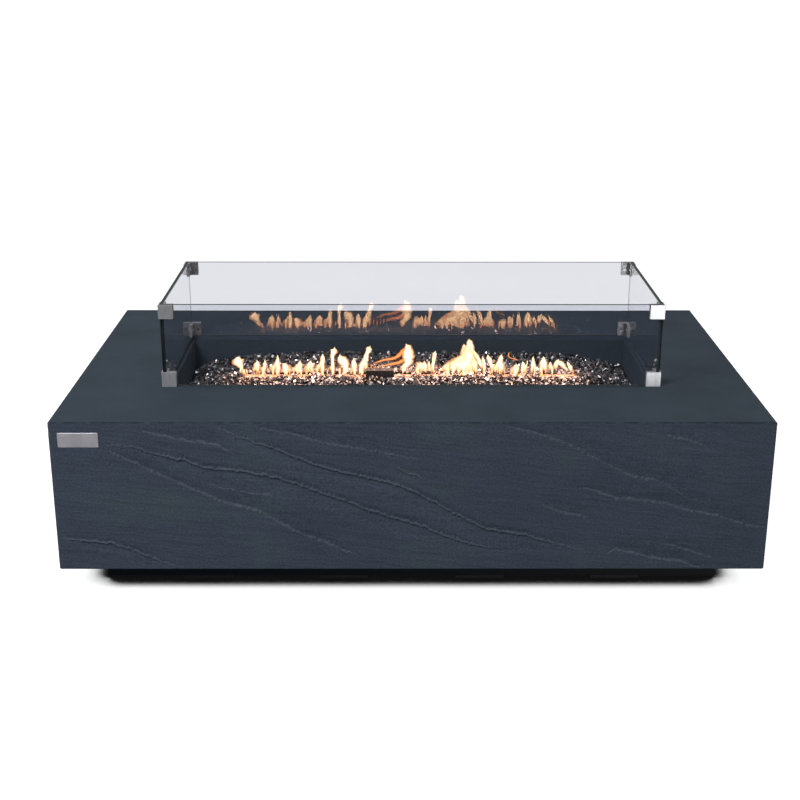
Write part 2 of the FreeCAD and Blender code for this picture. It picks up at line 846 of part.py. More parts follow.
def glass_surface():
    """Closed solid whose top is a field of tilted facets, one pair to each chip."""
    length = pan_length - 2 * (pan_sheet + glass_gap)
    width = pan_width - 2 * (pan_sheet + glass_gap)
    count_x = round(length / glass_chip)
    count_y = round(width / glass_chip)
    rows = glass_grid(count_x, count_y, length, width)
    faces = []
    for low, high in zip(rows, rows[1:]):
        for a, b, c, d in zip(low, low[1:], high[1:], high):
            faces.append(polygon_face([a, b, c]))
            faces.append(polygon_face([a, c, d]))
    for edge in (rows[0], rows[-1], [r[0] for r in rows], [r[-1] for r in rows]):
        below = [vec(p.x, p.y, pan_floor) for p in (edge[0], edge[-1])]
        faces.append(polygon_face(edge + below[::-1]))
    corners = [rows[0][0], rows[0][-1], rows[-1][-1], rows[-1][0]]
    faces.append(polygon_face([vec(p.x, p.y, pan_floor) for p in corners]))
    shell = Part.makeShell(faces)
    shell.sewShape()
    return Part.makeSolid(shell)


def make_fire_glass():
    """Bed of broken glass, lying round the burner, its saddles, the feed and the pilot."""
    bend = pan_bend
    bed = glass_surface()
    trim = centred_block(pan_length, pan_width, pan_floor - 1, pan_floor + bend)
    foot_length = pan_length - 2 * (pan_sheet + bend)
    foot_width = pan_width - 2 * (pan_sheet + bend)
    trim = trim.cut(centred_block(foot_length, foot_width, pan_floor - 2, pan_floor + bend + 1))
    gap = glass_gap
    trench = burner_radius + gap
    saddle_x = burner_length / 2 - saddle_from_end
    cuts = [
        trim,
        rod(trench, (-burner_length / 2 - gap, 0, burner_z), (1, 0, 0), burner_length + 2 * gap),
        block(-burner_length / 2 - gap, burner_length / 2 + gap, -trench, trench, burner_z, table_height),
        rod(locknut_flats / math.sqrt(3) + gap, (0, 0, pan_floor - 1), (0, 0, 1), burner_z - pan_floor),
        block(pilot_centre_x - pilot_length / 2 - gap, pilot_centre_x + pilot_length / 2 + gap,
              pilot_y - pilot_depth / 2 - pilot_leg_width - gap, 0, pan_floor - 1, table_height),
    ]
    for side in (-1, 1):
        x = side * saddle_x
        cuts.append(block(x - saddle_foot / 2 - gap, x + saddle_foot / 2 + gap,
                          -saddle_width / 2 - gap, saddle_width / 2 + gap, pan_floor - 1, burner_z))
    return cut_all(bed, cuts)


# Controls

def make_control_panel():
    """Plate on the ledge of the recess, with holes for the valve, the igniter and its screws."""
    width = control_width - 2 * panel_gap
    height = control_tall - 2 * panel_gap
    plate = control_block(width, height, panel_back, panel_front)
    before = panel_back - 1
    through = panel_sheet + 2
    cuts = [
        rod(valve_neck_radius + thread_gap, (before, valve_y, control_height), (1, 0, 0), through),
        rod(igniter_neck_radius + thread_gap, (before, igniter_y, control_height), (1, 0, 0), through),
    ]
    for y, z in panel_screw_places():
        cuts.append(rod(panel_screw_radius + bolt_hole_gap, (before, y, z), (1, 0, 0), through))
    return cut_all(plate, cuts)


def make_panel_screws():
    """Domed screws that hold the plate to the ledge."""
    screws = []
    for y, z in panel_screw_places():
        head = rod(panel_screw_head, (panel_front, y, z), (1, 0, 0), panel_screw_radius)
        rim = [e for e in head.Edges if e.Closed and e.CenterOfMass.x > panel_front + 1e-3]
        head = head.makeFillet(panel_screw_radius * 0.8, rim)
        inner_end = (panel_front + panel_screw_radius / 4, y, z)
        shank = rod(panel_screw_radius, inner_end, (-1, 0, 0), panel_screw_length)
        socket_floor = (panel_front + panel_screw_radius / 2, y, z)
        socket = hexagon(panel_screw_socket, socket_floor, (1, 0, 0), panel_screw_radius)
        screws.append(head.fuse(shank).cut(socket))
    return Part.makeCompound(screws)


def make_gas_valve():
    """Valve body with a bonnet, a threaded neck through the panel and an outlet stub."""
    z = control_height
    bonnet_back = panel_back - bonnet_length
    body = block(valve_back, bonnet_back, valve_y - valve_body_width / 2, valve_y + valve_body_width / 2,
                 z - valve_body_height / 2, z + valve_body_height / 2)
    long_edges = [e for e in body.Edges if abs(e.Vertexes[0].X - e.Vertexes[-1].X) > valve_body_length / 2]
    body = body.makeFillet(valve_radius, long_edges)
    bonnet = rod(bonnet_radius, (bonnet_back, valve_y, z), (1, 0, 0), bonnet_length)
    neck = rod(valve_neck_radius, (bonnet_back, valve_y, z), (1, 0, 0), neck_end - bonnet_back)
    outlet = rod(flare_radius, (valve_outlet_x(), valve_y, z), (1, 0, 0), flare_length + 1)
    solid = body.fuse(bonnet).fuse(neck).fuse(outlet)
    bore_start = bonnet_back - valve_body_length / 2
    bore = rod(stem_radius + running_gap, (bore_start, valve_y, z), (1, 0, 0), table_length)
    return solid.cut(bore).removeSplitter()


def make_valve_locknut():
    """Nut that clamps the valve's neck and the bezel to the panel."""
    start = (panel_front + bezel_thickness, valve_y, control_height)
    return nut(valve_locknut_flats, valve_neck_radius + thread_gap, start, (1, 0, 0), valve_locknut_height)


def make_knob_bezel():
    """Round trim plate behind the knob, notched with a row of setting marks."""
    start = (panel_front, valve_y, control_height)
    plate = tube(bezel_radius, valve_neck_radius + thread_gap, start, (1, 0, 0), bezel_thickness)
    marks = []
    for k in range(bezel_marks):
        turn = -90 + 180 * k / (bezel_marks - 1)
        mark = block(panel_front + bezel_thickness / 2, panel_front + 2 * bezel_thickness,
                     -bezel_mark_width / 2, bezel_mark_width / 2, knob_radius + 1, bezel_radius - 1)
        mark.rotate(vec(0, 0, 0), vec(1, 0, 0), turn)
        mark.translate(vec(0, valve_y, control_height))
        marks.append(mark)
    return cut_all(plate, marks)


def knob_back():
    """Plane of the knob's open edge at rest, one stroke clear of the bezel."""
    return panel_front + bezel_thickness + knob_stroke + stroke_spare


def hub_back():
    """Plane of the hub's inner face at rest."""
    return knob_back() + knob_depth - knob_shell - knob_hub_depth


def make_control_knob():
    """Fluted cup with a dished face, a hub for the stem and an index line."""
    z = control_height
    start = (knob_back(), valve_y, z)
    body = rod(knob_radius, start, (1, 0, 0), knob_depth)
    front_edge = [e for e in body.Edges if e.Closed and e.CenterOfMass.x > knob_back() + knob_depth / 2]
    body = body.makeFillet(knob_shell / 2, front_edge)
    flutes = []
    for k in range(knob_flutes):
        turn = math.radians(360 * (k + 0.5) / knob_flutes)
        reach = knob_radius + knob_flute_radius * 0.6
        place = (knob_back() - 1, valve_y + reach * math.sin(turn), z + reach * math.cos(turn))
        flutes.append(rod(knob_flute_radius, place, (1, 0, 0), knob_depth - knob_shell / 2))
    body = cut_all(body, flutes)
    inner = knob_radius - knob_flute_radius - knob_shell / 2
    hollow = tube(inner, knob_hub_radius, start, (1, 0, 0), knob_depth - knob_shell)
    above_hub = rod(knob_hub_radius, start, (1, 0, 0), hub_back() - knob_back())
    front = knob_back() + knob_depth
    dish = rod(inner, (front - knob_recess, valve_y, z), (1, 0, 0), knob_recess + 1)
    line = block(front - knob_recess - knob_line_depth, front + 1, valve_y - knob_line_width / 2,
                 valve_y + knob_line_width / 2, z + knob_hub_radius, z + knob_radius + 1)
    return cut_all(body.cut(hollow).cut(above_hub), [stem_solid(), dish, line]).removeSplitter()


def stem_solid():
    """Spindle with a flat along the end that drives the knob."""
    inner_end = panel_back - bonnet_length - valve_body_length / 2 + knob_stroke + stroke_spare
    outer_end = knob_back() + knob_depth - knob_shell
    body = rod(stem_radius, (inner_end, valve_y, control_height), (1, 0, 0), outer_end - inner_end)
    flat = block(hub_back(), outer_end + 1, valve_y - stem_radius, valve_y + stem_radius,
                 control_height + stem_radius - stem_flat, control_height + 2 * stem_radius)
    return body.cut(flat)


def make_thrust_washer():
    """Washer between the spring and the knob's hub."""
    start = (hub_back() - washer_thickness, valve_y, control_height)
    return tube(washer_radius, stem_radius + running_gap, start, (1, 0, 0), washer_thickness)


def coil_point(turn, start_x, pitch):
    """Point on the spring's helix after a number of turns."""
    angle = 2 * math.pi * turn
    return vec(start_x + pitch * turn, valve_y + spring_radius * math.cos(angle),
               control_height + spring_radius * math.sin(angle))


def make_stem_spring():
    """Coil spring between the valve's nut and the thrust washer."""
    high = hub_back() - washer_thickness
    start_x = neck_end + spring_wire / 2 + thread_gap
    pitch = (high - neck_end - spring_wire - 2 * thread_gap) / spring_turns
    edges = []
    quarters = 4 * spring_turns
    for k in range(quarters):
        a, b, c = (coil_point(t / 4, start_x, pitch) for t in (k, k + 0.5, k + 1))
        edges.append(Part.Arc(a, b, c).toShape())
    path = Part.Wire(edges)
    start = coil_point(0, start_x, pitch)
    along = edges[0].tangentAt(edges[0].FirstParameter)
    section = Part.Wire([Part.makeCircle(spring_wire / 2, start, along)])
    print("spring gap between turns", round(pitch - spring_wire, 2))
    return path.makePipeShell([section], True, False)


def make_inlet_fitting():
    """Brass flare fitting under the valve, where the supply hose screws on."""
    top = control_height - valve_body_height / 2
    thread_end = top - inlet_hex - inlet_length
    x = valve_back + valve_body_length / 2
    hexed = hexagon(inlet_flats, (x, valve_y, top), (0, 0, -1), inlet_hex)
    thread = rod(flare_radius, (x, valve_y, thread_end), (0, 0, 1), inlet_length + 1)
    cone = Part.makeCone(inlet_tip_radius, flare_radius, inlet_cone, vec(x, valve_y, thread_end - inlet_cone))
    bore = rod(inlet_bore, (x, valve_y, top + 1), (0, 0, -1), table_height)
    return hexed.fuse(thread).fuse(cone).cut(bore)


# Igniter

def igniter_back():
    """Plane of the igniter housing's inner end."""
    return panel_back - igniter_length


def battery_room_start():
    """Plane where the battery's space begins inside the housing."""
    return igniter_back() + igniter_end_wall


def make_igniter_housing():
    """Round housing behind the panel, with the battery inside and the button in its neck."""
    z = control_height
    body = rod(igniter_radius, (igniter_back(), igniter_y, z), (1, 0, 0), igniter_length)
    neck = rod(igniter_neck_radius, (panel_back - 1, igniter_y, z), (1, 0, 0), igniter_neck_length + 1)
    room_start = (battery_room_start(), igniter_y, z)
    room = rod(battery_radius + lead_gap, room_start, (1, 0, 0), battery_length + 2 * lead_gap)
    guide_start = (button_back() - button_stroke - stroke_spare, igniter_y, z)
    guide = rod(button_radius + running_gap, guide_start, (1, 0, 0), igniter_length)
    return body.fuse(neck).cut(room).cut(guide)


def make_igniter_battery():
    """Single round cell with its raised contact."""
    start = (battery_room_start() + lead_gap, igniter_y, control_height)
    can = rod(battery_radius, start, (1, 0, 0), battery_length - battery_nub)
    contact = rod(battery_radius / 3, start, (1, 0, 0), battery_length)
    return can.fuse(contact)


def make_igniter_collar():
    """Chamfered ring nut that holds the igniter in the panel."""
    start = (panel_front, igniter_y, control_height)
    body = rod(collar_radius, start, (1, 0, 0), collar_height)
    front = [e for e in body.Edges if e.Closed and e.CenterOfMass.x > panel_front + collar_height / 2]
    body = body.makeChamfer(collar_height / 3, front)
    return body.cut(rod(igniter_neck_radius + thread_gap, start, (1, 0, 0), collar_height))


def button_back():
    """Plane of the button's inner end at rest."""
    return panel_back + igniter_neck_length + button_proud - button_length


def make_igniter_button():
    """Push button with a rounded rim and a shallow dish."""
    z = control_height
    body = rod(button_radius, (button_back(), igniter_y, z), (1, 0, 0), button_length)
    front = [e for e in body.Edges if e.Closed and e.CenterOfMass.x > button_back() + button_length / 2]
    body = body.makeFillet(button_dish, front)
    ball = 0.5 * ((button_radius * 0.8) ** 2 + button_dish ** 2) / button_dish
    face_x = button_back() + button_length
    dish = Part.makeSphere(ball, vec(face_x + ball - button_dish, igniter_y, z))
    return body.cut(dish)


# Wind guard

def screw_levels():
    """Heights of the low and the high clip screws."""
    return (glass_underside + clip_height / 2, glass_top - clip_height / 2)


def make_long_pane(side):
    """Front or back pane, with a hole near each corner."""
    inner = guard_width / 2 - pane_thickness
    y0 = min(side * inner, side * guard_width / 2)
    pane = block(-guard_length / 2, guard_length / 2, y0, y0 + pane_thickness, glass_underside, glass_top)
    along = guard_length / 2 - pane_thickness - clip_screw_from_inside
    holes = [rod(glass_hole_radius, (sx * along, y0 - 1, z), (0, 1, 0), pane_thickness + 2)
             for sx in (-1, 1) for z in screw_levels()]
    return cut_all(pane, holes)


def make_end_pane(side):
    """Left or right pane, fitted between the two long ones."""
    inner = guard_length / 2 - pane_thickness
    x0 = min(side * inner, side * guard_length / 2)
    reach = guard_width / 2 - pane_thickness - pane_gap
    pane = block(x0, x0 + pane_thickness, -reach, reach, glass_underside, glass_top)
    along = guard_width / 2 - pane_thickness - clip_screw_from_inside
    holes = [rod(glass_hole_radius, (x0 - 1, sy * along, z), (1, 0, 0), pane_thickness + 2)
             for sy in (-1, 1) for z in screw_levels()]
    return cut_all(pane, holes)


def corner_angle(near, far, thickness, height, z0):
    """Upright angle in the positive corner: two leaves from their common outer edge inwards.

    The outer edge is at near along both axes, the leaves end at far, and they are so thick."""
    along_x = block(far, near, near - thickness, near, z0, z0 + height)
    along_y = block(near - thickness, near, far, near, z0, z0 + height)
    return along_x.fuse(along_y).removeSplitter()


def at_corner(shape, side_x, side_y):
    """Shape made about the glass's inner corner at the origin, put at one corner of the guard."""
    placed = shape.copy()
    if side_x * side_y < 0:
        placed = placed.mirror(vec(0, 0, 0), vec(1, -1, 0))
    turn = {(1, 1): 0, (-1, 1): 90, (-1, -1): 180, (1, -1): 270}[(side_x, side_y)]
    placed.rotate(vec(0, 0, 0), vec(0, 0, 1), turn)
    inner_x = guard_length / 2 - pane_thickness
    inner_y = guard_width / 2 - pane_thickness
    placed.translate(vec(side_x * inner_x, side_y * inner_y, 0))
    return placed


def at_each_corner(shape):
    """Copies of a corner piece at all four corners of the guard."""
    return [at_corner(shape, side_x, side_y) for side_x in (-1, 1) for side_y in (-1, 1)]


def both_leaves(make_one):
    """One feature on each leaf of a corner piece: on the leaf along X and on the leaf along Y."""
    place = -clip_screw_from_inside
    return [make_one((place, 0.0), (0, 1, 0)), make_one((0.0, place), (1, 0, 0))]


def on_leaf(radius, first, last, z):
    """Maker of a rod across a leaf, between two distances from the glass's inner face."""
    def make_one(place, direction):
        start = (place[0] + direction[0] * first, place[1] + direction[1] * first, z)
        return rod(radius, start, direction, last - first)
    return make_one


def clip_level(high):
    """Lower edge of a low or a high clip."""
    return glass_top - clip_height if high else glass_underside


def make_outer_clip(high):
    """Corner angle outside the glass, with two bosses that reach through the holes in the glass."""
    z0 = clip_level(high)
    middle = z0 + clip_height / 2
    near = pane_thickness + liner + clip_sheet
    far = -clip_reach
    body = corner_angle(near, far, clip_sheet, clip_height, z0)
    outer_corner = [e for e in edges_at(body, "x", near) if e.CenterOfMass.y > near - 1e-6]
    body = body.makeFillet(clip_round, outer_corner)
    leaf_back = pane_thickness + liner
    for boss in both_leaves(on_leaf(clip_boss_radius, 0.0, leaf_back + clip_sheet / 2, middle)):
        body = body.fuse(boss)
    threads = both_leaves(on_leaf(clip_screw_radius + thread_gap, -1.0, leaf_back, middle))
    return cut_all(body, threads)


def make_inner_clip(high):
    """Corner angle inside the glass, with two clearance holes."""
    z0 = clip_level(high)
    near = -liner
    far = near - clip_reach
    body = corner_angle(near, far, clip_inner_sheet, clip_height, z0)
    hole = clip_screw_radius + clip_hole_gap
    inner_face = near - clip_inner_sheet
    return cut_all(body, both_leaves(on_leaf(hole, inner_face - 1, 1.0, z0 + clip_height / 2)))


def make_clip_liners():
    """Thin soft liners on both sides of the glass at every clip."""
    liners = []
    for high in (False, True):
        z0 = clip_level(high)
        middle = z0 + clip_height / 2
        outer = corner_angle(pane_thickness + liner, -clip_reach, liner, clip_height, z0)
        inner = corner_angle(0.0, -clip_reach, liner, clip_height, z0)
        holes = both_leaves(on_leaf(glass_hole_radius, -2 * liner, pane_thickness + 2 * liner, middle))
        for leaf in (cut_all(outer, holes), cut_all(inner, holes)):
            liners += at_each_corner(leaf)
    return Part.makeCompound(liners)


def make_clip_screws():
    """Socket screws from inside the guard through the glass into the outer clips."""
    screws = []
    seat = -liner - clip_inner_sheet
    top = seat - clip_screw_head_height
    socket_floor = seat - clip_screw_head_height / 2
    for high in (False, True):
        middle = clip_level(high) + clip_height / 2
        heads = both_leaves(on_leaf(clip_screw_head, top, seat, middle))
        shanks = both_leaves(on_leaf(clip_screw_radius, socket_floor, pane_thickness, middle))
        sockets = both_leaves(on_leaf(clip_screw_socket / 2, top - 1, socket_floor, middle))
        for head, shank, socket in zip(heads, shanks, sockets):
            screws += at_each_corner(head.fuse(shank).cut(socket))
    return Part.makeCompound(screws)


def make_guard_feet():
    """Soft angle-shaped pads under the low clips and the corners of the glass."""
    outer = pane_thickness + liner + clip_sheet
    foot = corner_angle(outer, -clip_reach, outer, foot_height, table_height)
    return Part.makeCompound(at_each_corner(foot))


# All sub-parts by name

def corner_pieces():
    """The outer and inner clips, each at its own corner and level."""
    pieces = {}
    levels = {"low": False, "high": True}
    ends = {"left": -1, "right": 1}
    faces = {"front": -1, "back": 1}
    for level, high in levels.items():
        outer = make_outer_clip(high)
        inner = make_inner_clip(high)
        for face, side_y in faces.items():
            for end, side_x in ends.items():
                place = face + "_" + end + "_" + level
                pieces["clip_outer_" + place] = at_corner(outer, side_x, side_y)
                pieces["clip_inner_" + place] = at_corner(inner, side_x, side_y)
    return pieces


def all_parts():
    """Every sub-part under its name."""
    parts = {
        "shell": make_shell(),
        "plinth": make_plinth(),
        "plinth_bolts": make_plinth_bolts(),
        "plinth_pads": make_plinth_pads(),
        "name_plate": make_name_plate(),
        "burner_pan": make_burner_pan(),
        "fire_glass": make_fire_glass(),
        "burner_tube": make_burner_tube(),
        "burner_end_caps": make_burner_end_caps(),
        "burner_saddles": make_burner_saddles(),
        "feed_nipple": make_feed_nipple(),
        "feed_locknuts": make_feed_locknuts(),
        "air_mixer": make_air_mixer(),
        "gas_orifice": make_gas_orifice(),
        "burner_hose": make_burner_hose(),
        "hose_nuts": make_hose_nuts(),
        "pilot_shield": make_pilot_shield(),
        "spark_electrode": make_spark_electrode(),
        "flame_sensor": make_flame_sensor(),
        "igniter_lead": make_igniter_lead(),
        "sensor_lead": make_sensor_lead(),
        "lead_grommets": make_lead_grommets(),
        "lead_clips": make_lead_clips(),
        "control_panel": make_control_panel(),
        "panel_screws": make_panel_screws(),
        "gas_valve": make_gas_valve(),
        "valve_locknut": make_valve_locknut(),
        "knob_bezel": make_knob_bezel(),
        "inlet_fitting": make_inlet_fitting(),
        "stem_spring": make_stem_spring(),
        "thrust_washer": make_thrust_washer(),
        "valve_stem": stem_solid(),
        "control_knob": make_control_knob(),
        "igniter_housing": make_igniter_housing(),
        "igniter_collar": make_igniter_collar(),
        "igniter_battery": make_igniter_battery(),
        "igniter_button": make_igniter_button(),
        "pane_front": make_long_pane(-1),
        "pane_back": make_long_pane(1),
        "pane_left": make_end_pane(-1),
        "pane_right": make_end_pane(1),
        "clip_liners": make_clip_liners(),
        "clip_screws": make_clip_screws(),
        "guard_feet": make_guard_feet(),
    }
    parts.update(corner_pieces())
    return parts


os.makedirs("parts", exist_ok=True)
for name, shape in all_parts().items():
    shape.exportStep("parts/" + name + ".step")
    print(name, "solids", len(shape.Solids), "valid", shape.isValid(), "volume", round(shape.Volume))
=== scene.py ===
# %% [markdown]
# # A fire pit table, looks only
# The CAD model gives every sub-part its true shape and place.
# This lesson adds what CAD leaves out: the split-slate skin, the broken glass, the flames,
# the finish of every material, and the studio.

# %% Load the CAD frame
import bpy
import bmesh
import json
import math
import random
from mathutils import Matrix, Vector, noise

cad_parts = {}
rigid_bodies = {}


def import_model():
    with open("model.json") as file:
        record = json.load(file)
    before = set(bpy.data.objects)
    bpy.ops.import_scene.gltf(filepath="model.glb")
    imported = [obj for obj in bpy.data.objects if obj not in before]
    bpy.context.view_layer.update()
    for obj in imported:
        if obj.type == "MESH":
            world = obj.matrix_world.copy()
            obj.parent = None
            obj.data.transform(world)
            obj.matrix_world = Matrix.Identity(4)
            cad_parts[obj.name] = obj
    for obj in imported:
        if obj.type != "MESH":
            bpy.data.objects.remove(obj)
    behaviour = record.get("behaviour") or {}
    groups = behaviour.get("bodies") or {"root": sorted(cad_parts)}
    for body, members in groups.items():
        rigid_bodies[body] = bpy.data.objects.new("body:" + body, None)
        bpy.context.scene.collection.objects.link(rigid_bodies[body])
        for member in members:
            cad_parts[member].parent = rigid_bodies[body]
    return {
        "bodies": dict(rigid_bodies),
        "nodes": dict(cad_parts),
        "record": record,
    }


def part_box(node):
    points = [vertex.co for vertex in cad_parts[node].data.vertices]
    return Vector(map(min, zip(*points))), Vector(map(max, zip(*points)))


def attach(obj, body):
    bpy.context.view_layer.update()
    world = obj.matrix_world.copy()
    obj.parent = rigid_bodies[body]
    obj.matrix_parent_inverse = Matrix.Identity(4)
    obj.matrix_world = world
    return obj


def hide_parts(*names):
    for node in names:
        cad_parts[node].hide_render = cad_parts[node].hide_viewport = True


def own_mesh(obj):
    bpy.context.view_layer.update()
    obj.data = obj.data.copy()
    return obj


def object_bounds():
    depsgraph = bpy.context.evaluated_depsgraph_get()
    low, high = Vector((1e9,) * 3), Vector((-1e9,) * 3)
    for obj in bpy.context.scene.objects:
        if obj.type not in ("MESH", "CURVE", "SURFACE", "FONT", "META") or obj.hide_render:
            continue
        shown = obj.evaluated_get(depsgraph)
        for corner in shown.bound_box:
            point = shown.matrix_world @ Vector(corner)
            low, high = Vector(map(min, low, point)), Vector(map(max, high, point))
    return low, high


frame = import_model()
cad_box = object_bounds()
nodes = frame["nodes"]
for leftover in [o for o in bpy.data.objects if o not in nodes.values() and o not in frame["bodies"].values()]:
    bpy.data.objects.remove(leftover)
print("CAD nodes", len(nodes), "box", [tuple(round(v, 3) for v in corner) for corner in cad_box])

# %% [markdown]
# ## Helpers
# Short ways to make a mesh object, to give it a material and to list a record slot's nodes,
# and then short ways to add the shader nodes that come up again and again.

# %% Helpers for meshes
MM = 0.001


def link(thing):
    """Puts an object into the scene."""
    bpy.context.scene.collection.objects.link(thing)
    return thing


def mesh_object(name, vertices, faces, smooth=False):
    """Makes a mesh object at the origin with outward normals."""
    mesh = bpy.data.meshes.new(name)
    mesh.from_pydata(vertices, [], faces)
    shape = bmesh.new()
    shape.from_mesh(mesh)
    bmesh.ops.recalc_face_normals(shape, faces=shape.faces)
    shape.to_mesh(mesh)
    shape.free()
    mesh.polygons.foreach_set("use_smooth", [smooth] * len(mesh.polygons))
    return link(bpy.data.objects.new(name, mesh))


def joined(parts):
    """Vertices, faces and marks of several shapes as those of one mesh."""
    vertices = []
    faces = []
    marks = []
    for more, loops, their_marks in parts:
        faces += [tuple(len(vertices) + i for i in loop) for loop in loops]
        vertices += more
        marks += their_marks
    return vertices, faces, marks


def evaluated_mesh(thing):
    """The mesh that an object's modifiers make."""
    bpy.context.view_layer.update()
    return bpy.data.meshes.new_from_object(thing.evaluated_get(bpy.context.evaluated_depsgraph_get()))


def triangles(thing):
    """How many triangles an object's mesh has."""
    return sum(len(p.vertices) - 2 for p in thing.data.polygons)


def dress(thing, *materials):
    """Gives an object its materials."""
    thing.data.materials.clear()
    for material in materials:
        thing.data.materials.append(material)


slot_of = {row["node"]: row["material_slot"] for row in frame["record"]["subparts"]}
print("material slots", len(set(slot_of.values())))

# %% Helpers for node trees
def add_node(tree, kind, inputs=None, **settings):
    """Adds a node, sets its options, and links or sets its inputs."""
    made = tree.nodes.new(kind)
    for key, value in settings.items():
        setattr(made, key, value)
    for key, value in (inputs or {}).items():
        if isinstance(value, bpy.types.NodeSocket):
            tree.links.new(value, made.inputs[key])
        else:
            made.inputs[key].default_value = value
    return made


def math_node(tree, operation, first, second=0.0, clamp=False):
    """Adds one arithmetic node and gives back its result."""
    return add_node(tree, "ShaderNodeMath", {0: first, 1: second}, operation=operation, use_clamp=clamp).outputs[0]


def product(tree, first, second):
    """One number times another."""
    return math_node(tree, "MULTIPLY", first, second)


def weighted(tree, *parts):
    """Sum of several values, each times its weight."""
    total = product(tree, *parts[0])
    for value, weight in parts[1:]:
        total = math_node(tree, "ADD", total, product(tree, value, weight))
    return total


def stretch(tree, vector, by):
    """A vector or colour, axis by axis times another."""
    return add_node(tree, "ShaderNodeVectorMath", {0: vector, 1: by}, operation="MULTIPLY").outputs[0]


def brighten(tree, color, gain):
    """A colour times a number."""
    return add_node(tree, "ShaderNodeVectorMath", {0: color, 3: gain}, operation="SCALE").outputs[0]


def remap(tree, value, start, end, low=0.0, high=1.0, **settings):
    """Takes start..end to low..high, held at both ends."""
    given = {"Value": value, "From Min": start, "From Max": end, "To Min": low, "To Max": high}
    return add_node(tree, "ShaderNodeMapRange", given, **settings).outputs[0]


def mix_numbers(tree, share, first, second):
    """The first number at a share of zero, and the second at one."""
    return add_node(tree, "ShaderNodeMix", {0: share, 2: first, 3: second}).outputs[0]


def mix_colors(tree, share, first, second):
    """The first colour at a share of zero, and the second at one."""
    return add_node(tree, "ShaderNodeMix", {0: share, 4: first, 5: second}, data_type="VECTOR").outputs[1]


def cloudy(tree, place, scale, detail, **more):
    """Noise from 0 to 1."""
    given = {"Vector": place, "Scale": scale, "Detail": detail, **more}
    return add_node(tree, "ShaderNodeTexNoise", given).outputs["Fac"]


def object_place(tree):
    """Where the shaded point lies, in metres."""
    return add_node(tree, "ShaderNodeTexCoord").outputs["Object"]


def axes_of(tree, place):
    """The three coordinates of a place."""
    return add_node(tree, "ShaderNodeSeparateXYZ", {0: place}).outputs


def new_group(name, inputs, outputs):
    """Starts a shader node group with typed sockets."""
    group = bpy.data.node_groups.new(name, "ShaderNodeTree")
    for label, kind, value in inputs:
        socket = group.interface.new_socket(label, in_out="INPUT", socket_type=kind)
        socket.default_value = value
    for label, kind in outputs:
        group.interface.new_socket(label, in_out="OUTPUT", socket_type=kind)
    return group, group.nodes.new("NodeGroupInput").outputs, group.nodes.new("NodeGroupOutput")


def hand_over(group, result, **values):
    """Links the group's results to its outputs."""
    for label, value in values.items():
        group.links.new(value, result.inputs[label])


def new_shader(name, group, group_inputs, **constants):
    """Material with a Principled shader and a shared group beside it."""
    material = bpy.data.materials.new(name)
    material.use_nodes = True
    tree = material.node_tree
    tree.nodes.clear()
    shader = add_node(tree, "ShaderNodeBsdfPrincipled")
    add_node(tree, "ShaderNodeOutputMaterial", {"Surface": shader.outputs[0]})
    effect = add_node(tree, "ShaderNodeGroup", node_tree=group)
    for key, value in group_inputs.items():
        effect.inputs[key].default_value = value
    for key, value in constants.items():
        shader.inputs[key.replace("_", " ")].default_value = value
    return material, tree, shader, effect.outputs


COLOR, NUMBER = "NodeSocketColor", "NodeSocketFloat"
print("helpers ready")

# %% [markdown]
# ## Shared shader effects
# `grain` varies colour, roughness and relief with a noise that can be stretched, so the same group
# makes brushed steel, rubber, powder coat and plastic.
# `slate` makes the body's two finishes: smooth and mottled on top, striped like split stone on the sides.

# %% Node group: grain
SURFACE_OUTPUTS = [("Color", COLOR), ("Roughness", NUMBER), ("Height", NUMBER)]
BROAD_PATCHES = 18.0


def make_grain_group():
    """Fine stretched noise over broad patches."""
    group, given, result = new_group("grain", [
        ("Color", COLOR, (0.5, 0.5, 0.5, 1)),
        ("Roughness", NUMBER, 0.5),
        ("Stretch", "NodeSocketVector", (1, 1, 1)),
        ("Grain", NUMBER, 300.0),
        ("Spread", NUMBER, 0.15),
    ], SURFACE_OUTPUTS)
    place = object_place(group)
    fine = cloudy(group, stretch(group, place, given["Stretch"]), given["Grain"], 4.0)
    broad = cloudy(group, place, BROAD_PATCHES, 3.0)
    both = weighted(group, (fine, 0.7), (broad, 0.3))
    swing = product(group, math_node(group, "SUBTRACT", both, 0.5), 2.0)
    change = product(group, swing, given["Spread"])
    tinted = brighten(group, given["Color"], math_node(group, "ADD", change, 1.0))
    rough = math_node(group, "ADD", given["Roughness"], product(group, change, 0.5), clamp=True)
    hand_over(group, result, Color=tinted, Roughness=rough, Height=both)
    return group


grain_group = make_grain_group()
print("group", grain_group.name, "nodes", len(grain_group.nodes))

# %% Node group: slate
HALF_LENGTH = cad_box[1].x
HALF_WIDTH = cad_box[1].y
TABLE_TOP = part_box("shell")[1].z
ARRIS = 2.5 * MM
# How far from the top edges the painted highlight and shade reach.
EDGE_PAINT_BAND = 1.2 * ARRIS
DIP = 0.11


